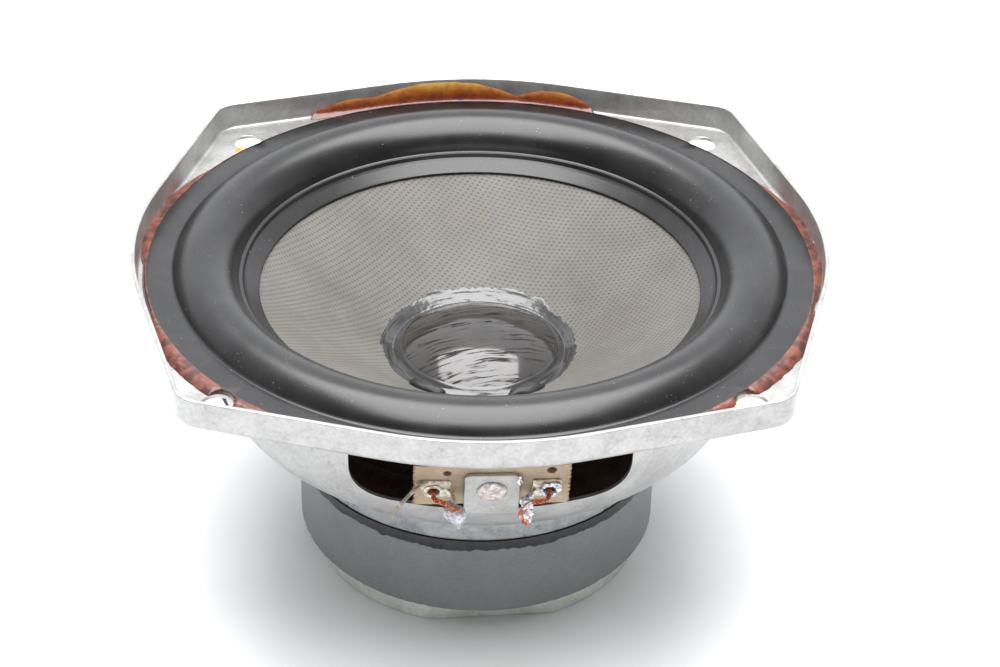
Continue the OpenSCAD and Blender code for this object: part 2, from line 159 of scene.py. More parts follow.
class Graph:
    """The node tree of one material, with its Principled shader."""

    def __init__(self, name: str) -> None:
        """Makes an empty material of that name.

        Args:
            name: Name of the material.
        """
        self.material = bpy.data.materials.new(name)
        self.material.use_nodes = True
        self.tree = self.material.node_tree
        self.shader = self.tree.nodes["Principled BSDF"]

    def node(self, kind: str, settings: dict[str, Any] | None = None,
             inputs: Sequence[Any] | dict[str, Any] = (), output: int | str = 0) -> Wire:
        """Adds one node of any type.

        Args:
            kind: Type name of the node.
            settings: Properties set first; "stops" fills a colour ramp.
            inputs: Values or wires, in order or by socket name.
            output: Which output the wire carries.

        Returns:
            A wire from that output.
        """
        made = self.tree.nodes.new(kind)
        for name, value in (settings or {}).items():
            if name == "stops":
                self._fill_ramp(made.color_ramp, value)
            else:
                setattr(made, name, value)
        sockets = [s for s in made.inputs if s.enabled]
        named = inputs.items() if isinstance(inputs, dict) else enumerate(inputs)
        for key, value in named:
            if isinstance(key, int):
                socket = sockets[key]
            else:
                socket = next(s for s in sockets if s.name == key)
            self.feed(socket, value)
        outputs = [s for s in made.outputs if s.enabled]
        if isinstance(output, int):
            return Wire(self, outputs[output])
        return Wire(self, next(s for s in outputs if s.name == output))

    def feed(self, socket: bpy.types.NodeSocket, value: Any) -> None:
        """Sets a socket to a plain value, or links a wire into it.

        Args:
            socket: The socket that is fed.
            value: A number, a colour or a wire.
        """
        if isinstance(value, Wire):
            self.tree.links.new(value.socket, socket)
        elif isinstance(value, tuple) and len(value) == 3 and socket.type == "RGBA":
            socket.default_value = (*value, 1.0)
        else:
            socket.default_value = value

    @staticmethod
    def _fill_ramp(ramp: bpy.types.ColorRamp, stops: Sequence[tuple[float, Any]]) -> None:
        """Replaces a ramp's stops with (position, colour) pairs.

        Args:
            ramp: The ramp to fill.
            stops: Place from 0 to 1 and colour or grey of each stop.
        """
        while len(ramp.elements) > 1:
            ramp.elements.remove(ramp.elements[-1])
        for index, (place, colour) in enumerate(stops):
            stop = ramp.elements[0] if index == 0 else ramp.elements.new(place)
            stop.position = place
            stop.color = (*colour, 1.0) if isinstance(colour, tuple) else (colour,) * 3 + (1.0,)

    def place(self) -> Wire:
        """Position on the piece, in metres."""
        return self.node("ShaderNodeTexCoord", output="Object")

    def parts(self, vector: Wire) -> tuple[Wire, Wire, Wire]:
        """The X, Y and Z of a vector.

        Args:
            vector: The vector to take apart.

        Returns:
            Its three parts.
        """
        first = self.node("ShaderNodeSeparateXYZ", inputs=(vector,))
        node = first.socket.node
        return tuple(Wire(self, socket) for socket in node.outputs)

    def join(self, x: Any, y: Any, z: Any) -> Wire:
        """A vector from its three parts."""
        return self.node("ShaderNodeCombineXYZ", inputs=(x, y, z))

    def noise(self, size: float, detail: float = 3.0, rough: float = 0.55,
              at: Wire | None = None, warp: float = 0.0) -> Wire:
        """Cloudy noise.

        Args:
            size: Width of one cloud, in millimetres.
            detail: Octaves of finer noise.
            rough: Strength of the finer noise.
            at: Where to read it; the position on the piece if left out.
            warp: Distortion of the noise.

        Returns:
            The noise, about 0.5 on average.
        """
        return self.node("ShaderNodeTexNoise", inputs={
            "Vector": at or self.place(), "Scale": 1 / (size * MM), "Detail": detail,
            "Roughness": rough, "Distortion": warp})

    def cells(self, size: float) -> Wire:
        """Distance to the middle of cells about size millimetres wide."""
        inputs = {"Vector": self.place(), "Scale": 1 / (size * MM)}
        return self.node("ShaderNodeTexVoronoi", inputs=inputs, output="Distance")

    def mix(self, share: Any, first: Any, second: Any) -> Wire:
        """Colour between first and second, by share."""
        return self.node("ShaderNodeMix", {"data_type": "RGBA"}, (share, first, second))

    def bump(self, height: Wire, depth: float, strength: float) -> Wire:
        """Normal bent by a height of 0 to 1, over a relief of depth millimetres."""
        return self.node("ShaderNodeBump", inputs={
            "Strength": strength, "Distance": depth * MM, "Height": height})

    def dress(self, **sockets: Any) -> bpy.types.Material:
        """Feeds the Principled shader's sockets, named with _ for a space.

        Args:
            **sockets: Values or wires, such as Base_Color=wire.

        Returns:
            The finished material.
        """
        for name, value in sockets.items():
            self.feed(self.shader.inputs[name.replace("_", " ")], value)
        return self.material


@dataclass(frozen=True)
class Plating:
    """Zinc plating on steel, dulled, clouded and spotted."""

    name: str
    light: Colour = (0.50, 0.502, 0.495)
    dark: Colour = (0.325, 0.324, 0.315)
    stain: Colour = (0.15, 0.135, 0.11)
    stains: float = 0.45
    rough: float = 0.36
    metal: float = 0.62
    cloud: float = 7.0

    def make(self) -> bpy.types.Material:
        """Builds the material.

        Returns:
            The material.
        """
        g = Graph(self.name)
        clouds = g.noise(self.cloud, 5, 0.6, warp=0.4)
        grain = g.noise(0.9, 4, 0.65)
        tone = (0.6 * clouds + 0.4 * grain).step(0.30, 0.68)
        spots = g.noise(2.0, 6, 0.7).step(0.56, 0.70) * g.noise(12, 3).step(0.36, 0.60)
        colour = g.mix(tone, self.dark, self.light)
        colour = g.mix(self.stains * spots, colour, self.stain)
        rough = self.rough + 0.22 * (clouds - 0.5) + 0.25 * self.stains * spots
        scratches = g.noise(0.35, 2, 0.5)
        relief = 0.6 * grain + 0.4 * scratches - 0.3 * spots
        return g.dress(Base_Color=colour, Metallic=self.metal, Roughness=rough,
                       Normal=g.bump(relief, 0.05, 0.35))


@dataclass(frozen=True)
class Ferrite:
    """Ground hard ferrite: matt dark grey, speckled, with small chips."""

    name: str = "ferrite"

    def make(self) -> bpy.types.Material:
        """Builds the material.

        Returns:
            The material.
        """
        g = Graph(self.name)
        x, y, z = g.parts(g.place())
        grind = g.noise(0.5, 4, 0.6, at=g.join(x * 0.4, y * 0.4, z * 2.4))
        dust = g.noise(9, 5, 0.7)
        specks = g.cells(2.4).step(0.10, 0.04) * g.noise(5, 2).step(0.50, 0.6)
        chips = g.cells(11).step(0.10, 0.07) * g.noise(14, 1).step(0.50, 0.56)
        colour = g.mix((0.5 * grind + 0.5 * dust).step(0.3, 0.7),
                       (0.125, 0.129, 0.135), (0.180, 0.185, 0.192))
        colour = g.mix(0.45 * specks, colour, (0.45, 0.46, 0.47))
        colour = g.mix(0.75 * chips, colour, (0.55, 0.56, 0.57))
        relief = 0.5 * grind + 0.3 * dust - 0.8 * chips
        return g.dress(Base_Color=colour, Roughness=0.46 + 0.18 * dust, Metallic=0.0,
                       Specular_IOR_Level=0.6, Normal=g.bump(relief, 0.08, 0.5))


@dataclass(frozen=True)
class Rubber:
    """Satin moulded rubber with dust on it."""

    name: str = "surround_rubber"
    black: Colour = (0.003, 0.003, 0.0035)
    dusty: Colour = (0.013, 0.013, 0.014)

    def make(self) -> bpy.types.Material:
        """Builds the material.

        Returns:
            The material.
        """
        g = Graph(self.name)
        skin = g.noise(0.35, 3, 0.6)
        bloom = g.noise(14, 5, 0.62, warp=0.6)
        fine = g.cells(0.9).step(0.13, 0.04) * g.noise(4, 3).step(0.50, 0.62)
        coarse = g.cells(2.0).step(0.10, 0.04) * g.noise(7, 3).step(0.48, 0.62)
        specks = fine + coarse
        colour = g.mix(bloom.step(0.35, 0.75), self.black, self.dusty)
        colour = g.mix(0.8 * specks.step(0.0, 1.0), colour, (0.36, 0.34, 0.31))
        rough = 0.30 + 0.12 * (bloom - 0.5) + 0.25 * specks + 0.08 * (skin - 0.5)
        relief = 0.8 * skin + 0.4 * specks
        return g.dress(Base_Color=colour, Roughness=rough, Specular_IOR_Level=0.62,
                       Normal=g.bump(relief, 0.035, 0.35))


@dataclass(frozen=True)
class WovenCone:
    """Coarse open cloth pressed onto a stiff cone, with a dark dot in each mesh."""

    name: str = "woven_cone"
    warp_waves: Pair = (0.603, -0.487)
    weft_waves: Pair = (0.363, 0.989)
    cloth: Colour = (0.156, 0.146, 0.133)
    shade: Colour = (0.106, 0.098, 0.088)
    hole: Colour = (0.040, 0.035, 0.030)

    def make(self) -> bpy.types.Material:
        """Builds the material.

        Returns:
            The material.
        """
        g = Graph(self.name)
        x, y, _ = g.parts(g.place())
        wobble = g.noise(11, 2) - 0.5
        threads = g.noise(0.5, 3, 0.7)
        turn = math.pi / MM
        across = x * (turn * self.warp_waves[0]) + y * (turn * self.warp_waves[1]) + wobble * 1.6
        along = x * (turn * self.weft_waves[0]) + y * (turn * self.weft_waves[1]) + wobble * 1.2
        warp = across.sine().size()
        weft = along.sine().size()
        dot = (warp * weft).step(0.55, 0.95) * (0.45 + threads.step(0.3, 0.6) * 0.55)
        yarn = (across * 4).sine() * (along * 4).sine()
        wear = g.noise(18, 4, 0.6)
        colour = g.mix((0.6 * wear + 0.4 * threads).step(0.32, 0.68), self.shade, self.cloth)
        rust = g.noise(24, 3, 0.6).step(0.56, 0.74)
        colour = g.mix(0.35 * rust, colour, (0.17, 0.122, 0.078))
        colour = g.mix(0.25 * yarn.step(0.0, 0.9), colour, self.shade)
        colour = g.mix(0.80 * dot, colour, self.hole)
        relief = 1 - 0.75 * dot + 0.30 * threads + 0.12 * yarn
        return g.dress(Base_Color=colour, Roughness=0.46 + 0.2 * threads,
                       Specular_IOR_Level=0.5, Normal=g.bump(relief, 0.10, 0.7))


@dataclass(frozen=True)
class CapLacquer:
    """Dark lacquer brushed over the dust cap, with the strokes left in it."""

    name: str = "lacquered_cap"

    def make(self) -> bpy.types.Material:
        """Builds the material.

        Returns:
            The material.
        """
        g = Graph(self.name)
        x, y, z = g.parts(g.place())
        bend = g.noise(16, 2, 0.5)
        sweep = y - 0.22 * x + 0.006 * bend
        strokes = g.noise(0.8, 4, 0.65, at=g.join(x * 0.05, sweep, z * 0.1))
        fine = g.noise(0.35, 3, 0.6, at=g.join(x * 0.06, sweep, z * 0.1))
        gaps = strokes.step(0.52, 0.57) * g.noise(6, 2).step(0.38, 0.54)
        brown = g.noise(9, 3, 0.6)
        colour = g.mix(brown.step(0.35, 0.7), (0.005, 0.0025, 0.002), (0.013, 0.008, 0.006))
        colour = g.mix(0.35 * fine.step(0.45, 0.62), colour, (0.026, 0.020, 0.017))
        colour = g.mix(0.7 * gaps, colour, (0.006, 0.003, 0.002))
        relief = 0.7 * strokes + 0.3 * fine
        return g.dress(Base_Color=colour, Roughness=0.42 + 0.2 * gaps,
                       Specular_IOR_Level=0.25, Coat_Weight=1 - gaps,
                       Coat_Roughness=0.09, Coat_IOR=1.6,
                       Normal=g.bump(relief, 0.08, 0.5))


@dataclass(frozen=True)
class CapGlue:
    """Grey-black glue brushed round the dust cap, wet-looking and streaked."""

    name: str = "cap_glue"

    def make(self) -> bpy.types.Material:
        """Builds the material.

        Returns:
            The material.
        """
        g = Graph(self.name)
        x, y, z = g.parts(g.place())
        ring = (x * x + y * y) ** 0.5
        around = g.node("ShaderNodeMath", {"operation": "ARCTAN2"}, (y, x))
        strokes = g.noise(1.0, 5, 0.7, at=g.join(ring * 1.1, around * 0.0022, z * 0.2))
        lumps = g.noise(2.2, 4, 0.65)
        bare = strokes.step(0.52, 0.60)
        colour = g.mix(strokes.step(0.38, 0.60), (0.014, 0.0145, 0.016), (0.003, 0.003, 0.0035))
        relief = 0.7 * strokes + 0.3 * lumps
        return g.dress(Base_Color=colour, Roughness=0.30 + 0.35 * bare,
                       Coat_Weight=1 - 0.85 * bare, Coat_Roughness=0.13, Coat_IOR=1.55,
                       Normal=g.bump(relief, 0.16, 0.6))


@dataclass(frozen=True)
class Adhesive:
    """Dried adhesive, glossy and uneven, from a thin to a thick colour."""

    name: str
    thin: Colour
    thick: Colour
    rough: float = 0.28
    grain: float = 3.0
    relief: float = 0.14
    coat: float = 0.6

    def make(self) -> bpy.types.Material:
        """Builds the material.

        Returns:
            The material.
        """
        g = Graph(self.name)
        pools = g.noise(self.grain, 4, 0.55, warp=0.5)
        wrinkles = g.noise(0.9, 2, 0.5)
        colour = g.mix(pools.step(0.36, 0.64), self.thin, self.thick)
        relief = 0.75 * pools + 0.25 * wrinkles
        return g.dress(Base_Color=colour, Roughness=self.rough + 0.12 * wrinkles,
                       Coat_Weight=self.coat, Coat_Roughness=0.12,
                       Normal=g.bump(relief, self.relief, 0.6))


@dataclass(frozen=True)
class AmberGlue:
    """Clear amber glue: deep red where it is thick, yellow at its thin upper edge."""

    name: str = "amber_glue"
    low: float = 79.0
    high: float = 84.4

    def make(self) -> bpy.types.Material:
        """Builds the material.

        Returns:
            The material.
        """
        g = Graph(self.name)
        _, _, z = g.parts(g.place())
        drift = g.noise(5, 4, 0.6)
        fine = g.noise(1.2, 4, 0.65)
        share = (z - self.low * MM) / ((self.high - self.low) * MM)
        share = share + 0.8 * (drift - 0.5) + 0.5 * (fine - 0.5)
        colour = g.node("ShaderNodeValToRGB", {"stops": (
            (0.0, (0.10, 0.016, 0.007)), (0.32, (0.26, 0.050, 0.011)),
            (0.58, (0.46, 0.130, 0.016)), (0.82, (0.60, 0.26, 0.030)),
            (1.0, (0.68, 0.42, 0.10)))}, (share,))
        return g.dress(Base_Color=colour, Roughness=0.22 + 0.2 * fine, Coat_Weight=0.5,
                       Coat_Roughness=0.12, Normal=g.bump(0.6 * drift + 0.4 * fine, 0.2, 0.5))


@dataclass(frozen=True)
class FibreBoard:
    """Tan pressed-fibre board with a brushed sizing on its face."""

    name: str = "board_fibre"

    def make(self) -> bpy.types.Material:
        """Builds the material.

        Returns:
            The material.
        """
        g = Graph(self.name)
        x, y, z = g.parts(g.place())
        fibres = g.noise(0.5, 4, 0.7, at=g.join(x * 0.35, y, z * 1.6))
        blot = g.noise(5, 4, 0.6)
        colour = g.mix((0.5 * fibres + 0.5 * blot).step(0.32, 0.68),
                       (0.27, 0.195, 0.125), (0.42, 0.325, 0.225))
        return g.dress(Base_Color=colour, Roughness=0.55 + 0.2 * fibres,
                       Normal=g.bump(fibres, 0.06, 0.6))


@dataclass(frozen=True)
class Wrought:
    """Bare or tinned metal of one colour, with tarnish in its hollows."""

    name: str
    bright: Colour
    tarnish: Colour
    rough: float = 0.3
    grain: float = 1.6

    def make(self) -> bpy.types.Material:
        """Builds the material.

        Returns:
            The material.
        """
        g = Graph(self.name)
        film = g.noise(self.grain, 5, 0.65, warp=0.5)
        scratch = g.noise(0.25, 3, 0.6)
        colour = g.mix(film.step(0.38, 0.66), self.tarnish, self.bright)
        return g.dress(Base_Color=colour, Metallic=0.95,
                       Roughness=self.rough + 0.3 * (1 - film.step(0.35, 0.65)),
                       Normal=g.bump(0.6 * film + 0.4 * scratch, 0.06, 0.5))


@dataclass(frozen=True)
class SpiderCloth:
    """Resin-stiffened cloth of the spider, seen dark in the basket."""

    name: str = "spider_cloth"

    def make(self) -> bpy.types.Material:
        """Builds the material.

        Returns:
            The material.
        """
        g = Graph(self.name)
        x, y, _ = g.parts(g.place())
        turn = math.pi / (0.7 * MM)
        weave = (x * turn).sine().size() * (y * turn).sine().size()
        resin = g.noise(6, 4, 0.6)
        colour = g.mix(resin.step(0.35, 0.65), (0.070, 0.024, 0.010), (0.115, 0.046, 0.020))
        colour = g.mix(0.3 * weave.step(0.3, 0.9), colour, (0.035, 0.012, 0.006))
        return g.dress(Base_Color=colour, Roughness=0.6 + 0.2 * resin,
                       Normal=g.bump(1 - weave, 0.10, 0.6))


@dataclass(frozen=True)
class CoilWire:
    """Fine enamelled wire, wound in even turns up the axis."""

    name: str = "enamelled_copper"

    def make(self) -> bpy.types.Material:
        """Builds the material.

        Returns:
            The material.
        """
        g = Graph(self.name)
        _, _, z = g.parts(g.place())
        turns = (z * (math.pi / (0.25 * MM))).sine().size()
        tint = g.noise(3, 3)
        colour = g.mix(tint.step(0.35, 0.65), (0.42, 0.13, 0.045), (0.62, 0.24, 0.09))
        return g.dress(Base_Color=colour, Metallic=0.9, Roughness=0.28 + 0.2 * tint,
                       Normal=g.bump(turns, 0.1, 0.8))


@dataclass(frozen=True)
class Floor:
    """White paper sweep under the driver."""

    name: str = "white_paper"

    def make(self) -> bpy.types.Material:
        """Builds the material.

        Returns:
            The material.
        """
        g = Graph(self.name)
        grain = g.noise(30, 3, 0.5)
        colour = g.mix(grain, (0.86, 0.865, 0.875), (0.88, 0.885, 0.89))
        return g.dress(Base_Color=colour, Roughness=0.6 + 0.1 * grain,
                       Specular_IOR_Level=0.3)


# Meshes


def ring_faces(rows: int, columns: int, closed_rows: bool = True) -> list[tuple[int, ...]]:
    """Quads of a grid whose columns run round and close.

    Args:
        rows: Number of points along the profile.
        columns: Number of points round the ring.
        closed_rows: Whether the last row joins the first.

    Returns:
        The quads, for points stored row by row.
    """
    faces = []
    for i in range(rows if closed_rows else rows - 1):
        a, b = i * columns, (i + 1) % rows * columns
        for j in range(columns):
            k = (j + 1) % columns
            faces.append((a + j, a + k, b + k, b + j))
    return faces


def make_piece(name: str, points: np.ndarray, faces: Sequence[Sequence[int]],
               sharp: float = 40.0) -> bpy.types.Object:
    """A mesh object from points in millimetres, smooth but for its sharp edges.

    Args:
        name: Name of the piece.
        points: Its points, in millimetres.
        faces: Its faces, as lists of point numbers.
        sharp: Angle in degrees above which an edge stays sharp.

    Returns:
        The object, linked into the scene.
    """
    mesh = bpy.data.meshes.new(name)
    mesh.from_pydata((np.asarray(points, float) * MM).tolist(), [], [tuple(f) for f in faces])
    piece = bpy.data.objects.new(name, mesh)
    bpy.context.scene.collection.objects.link(piece)
    tidy_mesh(piece, sharp)
    return piece


def make_shell(name: str, over: Sequence[Sequence[float]], under: Sequence[Sequence[float]],
               columns: int) -> bpy.types.Object:
    """A closed ring from an outer and an inner skin, each listed column by column.

    Args:
        name: Name of the piece.
        over: Points of the outer skin, in millimetres.
        under: Points of the inner skin.
        columns: Number of columns round the ring.

    Returns:
        The object.
    """
    outer = np.array(over).reshape(columns, -1, 3).transpose(1, 0, 2)
    inner = np.array(under).reshape(columns, -1, 3).transpose(1, 0, 2)[::-1]
    points = np.concatenate([outer.reshape(-1, 3), inner.reshape(-1, 3)])
    return make_piece(name, points, ring_faces(2 * len(outer), columns), 60)


def tidy_mesh(piece: bpy.types.Object, sharp: float = 40.0) -> None:
    """Drops doubled points, turns the faces outwards and smooths the shading.

    Args:
        piece: The piece to tidy.
        sharp: Angle in degrees above which an edge stays sharp.
    """
    work = bmesh.new()
    work.from_mesh(piece.data)
    bmesh.ops.remove_doubles(work, verts=work.verts, dist=1e-6)
    bmesh.ops.dissolve_degenerate(work, edges=work.edges, dist=1e-6)
    bmesh.ops.recalc_face_normals(work, faces=work.faces)
    work.to_mesh(piece.data)
    work.free()
    piece.data.shade_smooth()
    piece.data.set_sharp_from_angle(angle=math.radians(sharp))


def round_corners(points: Sequence[Pair], radius: float | Sequence[float],
                  steps: int = 4) -> list[Pair]:
    """Rounds the corners of a closed outline.

    Args:
        points: Corners of the outline.
        radius: One radius, or one for each corner; 0 keeps a corner.
        steps: Straight lengths in each arc.

    Returns:
        The outline with its corners replaced by curves.
    """
    count = len(points)
    radii = [radius] * count if isinstance(radius, (int, float)) else list(radius)
    out: list[Pair] = []
    for i, (corner, r) in enumerate(zip(points, radii)):
        here = np.array(corner, float)
        back = np.array(points[i - 1], float) - here
        on = np.array(points[(i + 1) % count], float) - here
        reach_back, reach_on = np.linalg.norm(back), np.linalg.norm(on)
        if r <= 0 or min(reach_back, reach_on) < 1e-9:
            out.append(tuple(here))
            continue
        back, on = back / reach_back, on / reach_on
        half = math.acos(max(-1.0, min(1.0, float(back @ on)))) / 2
        cut = min(r / max(math.tan(half), 1e-6), 0.49 * reach_back, 0.49 * reach_on)
        start, end = here + back * cut, here + on * cut
        for k in range(steps + 1):
            t = k / steps
            out.append(tuple((1 - t) ** 2 * start + 2 * t * (1 - t) * here + t * t * end))
    return out


def arc(centre: Pair, radius: float, start: float, end: float, steps: int) -> list[Pair]:
    """Points on an arc, with its angles in degrees.

    Args:
        centre: Its centre.
        radius: Its radius.
        start: Angle at which it starts.
        end: Angle at which it ends.
        steps: Straight lengths in it.

    Returns:
        Its points, both ends included.
    """
    angles = np.radians(np.linspace(start, end, steps + 1))
    return [(centre[0] + radius * math.cos(a), centre[1] + radius * math.sin(a))
            for a in angles]


def lathe(name: str, outline: Sequence[Pair], columns: int = 192,
          sharp: float = 40.0) -> bpy.types.Object:
    """A solid of revolution from a closed outline of (radius, height) points.

    Args:
        name: Name of the piece.
        outline: The outline, in millimetres; points on the axis have radius 0.
        columns: Number of points round the axis.
        sharp: Angle in degrees above which an edge stays sharp.

    Returns:
        The object.
    """
    angles = np.linspace(0, TURN, columns, endpoint=False)
    rows = np.array(outline, float)
    points = np.stack([
        rows[:, :1] * np.sin(angles), -rows[:, :1] * np.cos(angles),
        np.repeat(rows[:, 1:], columns, axis=1)], axis=-1).reshape(-1, 3)
    return make_piece(name, points, ring_faces(len(rows), columns), sharp)


def apply_modifiers(piece: bpy.types.Object) -> None:
    """Bakes a piece's modifiers into its mesh.

    Args:
        piece: The piece whose modifiers are used up.
    """
    bpy.context.view_layer.update()
    graph = bpy.context.evaluated_depsgraph_get()
    mesh = bpy.data.meshes.new_from_object(piece.evaluated_get(graph))
    piece.modifiers.clear()
    old = piece.data
    piece.data = mesh
    bpy.data.meshes.remove(old)


def combine(piece: bpy.types.Object, others: Sequence[bpy.types.Object], how: Join,
            sharp: float = 40.0) -> None:
    """Cuts other solids out of a piece, or adds them to it.

    Args:
        piece: The solid that is kept.
        others: The solids that are used up.
        how: Whether the others are cut out or added.
        sharp: Angle in degrees above which an edge stays sharp.
    """
    for other in others:
        step = piece.modifiers.new("cut", "BOOLEAN")
        step.operation = how.value
        step.solver = "EXACT"
        step.object = other
    apply_modifiers(piece)
    for other in others:
        mesh = other.data
        bpy.data.objects.remove(other)
        bpy.data.meshes.remove(mesh)
    tidy_mesh(piece, sharp)


def wander(place: Sequence[float], size: float, octaves: int = 4) -> float:
    """Smooth noise of about -1 to 1 at a place in millimetres."""
    return noise.fractal(Vector(place) / size, 1.0, 2.0, octaves)


def hand_over(piece: bpy.types.Object, body: Body, slot: str, finish: bpy.types.Material,
              *nodes: str) -> None:
    """Dresses a piece, makes it ride on a body and stand for CAD nodes.

    Args:
        piece: The piece.
        body: The body that it moves with.
        slot: Name of a material slot; not used.
        finish: Its material.
        *nodes: The CAD nodes that it replaces.
    """
    piece.data.materials.clear()
    piece.data.materials.append(finish)
    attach(piece, body.value)
    if nodes:
        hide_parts(*nodes)
    LOG.info("%s: %d points, for %s", piece.name, len(piece.data.vertices),
             ", ".join(nodes) or "no CAD node")


def dress_bending(piece: bpy.types.Object, finish: bpy.types.Material,
                  node: str) -> None:
    """Dresses a piece and hides the CAD node that it stands for.
    """
    piece.data.materials.append(finish)
    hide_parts(node)
    LOG.info("%s: %d points, bends for %s", piece.name, len(piece.data.vertices), node)


def stretch_radially(piece: bpy.types.Object, still_r: float, moving_r: float) -> None:
    """Bakes a ring's transform into its mesh and reads its points out.

    Args:
        piece: The ring.
        still_r: A radius in millimetres; not used.
        moving_r: A radius in millimetres; not used.
    """
    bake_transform(piece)
    count = len(piece.data.vertices)
    flat = np.zeros(count * 3, np.float32)
    piece.data.vertices.foreach_get("co", flat)


# Sub-assemblies


@dataclass
class Rim:
    """Plan outline of the basket's rim, sampled at fixed columns."""

    round_r: float = 83.6
    corner_at: float = 61.4
    corner_r: float = 7.5
    hole_at: float = 59.5
    hole_r: float = 3.6
    side_columns: int = 28
    line_columns: int = 22
    corner_columns: int = 18

    def __post_init__(self) -> None:
        """Works out the columns: an anchor point and a normal for each."""
        lean = math.degrees(math.acos(
            (self.round_r - self.corner_r) / (self.corner_at * math.sqrt(2))))
        side = 45 - lean
        far = self.corner_at * math.sqrt(2)
        shares = [i / self.line_columns for i in range(1, self.line_columns)]
        anchors, angles, radii = [], [], []
        for turn in range(0, 360, 90):
            c = math.radians(turn + 45)
            corner = (far * math.cos(c), far * math.sin(c))
            along = [(corner[0] * t, corner[1] * t) for t in shares]
            easing = [self.round_r * (1 - t) + self.corner_r * t for t in shares]
            anchors += [(0, 0)] * (self.side_columns + 1) + along
            anchors += [corner] * (self.corner_columns + 1) + along[::-1]
            angles += [*np.linspace(turn - side, turn + side, self.side_columns + 1)]
            angles += [turn + side] * len(shares)
            angles += [*np.linspace(turn + side, turn + 90 - side, self.corner_columns + 1)]
            angles += [turn + 90 - side] * len(shares)
            radii += [self.round_r] * (self.side_columns + 1) + easing
            radii += [self.corner_r] * (self.corner_columns + 1) + easing[::-1]
        turned = np.radians(angles)
        self.anchors = np.array(anchors, float)
        self.normals = np.column_stack([np.cos(turned), np.sin(turned)])
        self.radii = np.array(radii, float)

    def at(self, inset: float | np.ndarray) -> np.ndarray:
        """Points of the outline, moved in by inset."""
        return self.anchors + (self.radii - inset)[:, None] * self.normals

    def point(self, angle: float, inset: float) -> Pair:
        """The outline's point at an angle from the -Y axis, moved in by inset.

        Args:
            angle: The angle, in radians.
            inset: How far in from the outline.

        Returns:
            The X and Y of the point.
        """
        plan = self.at(inset)
        around = np.arctan2(plan[:, 0], -plan[:, 1])
        order = np.argsort(around)
        return tuple(float(np.interp(angle, around[order], plan[order, axis], period=TURN))
                     for axis in (0, 1))

    def clear_of_holes(self, angle: float, room: float = 0.1) -> float:
        """Largest radius at an angle that stays inside the mounting holes.

        Args:
            angle: The angle from an axis, in radians.
            room: Room to leave round each hole.

        Returns:
            The radius; very large where no hole is near.
        """
        centre, hole_r = self.hole_at * math.sqrt(2), self.hole_r + room
        off = (abs(angle) % (math.pi / 2)) - math.pi / 4
        across = centre * math.sin(off)
        if abs(across) >= hole_r:
            return 1e3
        return centre * math.cos(off) - math.sqrt(hole_r ** 2 - across ** 2)

    def angles(self) -> np.ndarray:
        """Angle of each column about the axis, in radians."""
        edge = self.at(0.0)
        return np.arctan2(edge[:, 1], edge[:, 0])


@dataclass
class TabFrame:
    """The sloping directions of the tab: X across, Y inwards, Z up its slope."""

    turn: float = 1.2
    lean: float = 17.8
    foot_r: float = 66.0
    foot_z: float = 54.3

    def matrix(self) -> Matrix:
        """Turns the tab's own millimetres into the row frame's metres.

        Returns:
            The matrix.
        """
        return (Matrix.Rotation(math.radians(self.turn), 4, "Z")
                @ Matrix.Translation(Vector((0, -self.foot_r, self.foot_z)) * MM)
                @ Matrix.Rotation(math.radians(self.lean), 4, "X"))

    def settle(self, piece: bpy.types.Object) -> bpy.types.Object:
        """Moves a piece built in the tab's own directions into place."""
        piece.data.transform(self.matrix())
        return piece


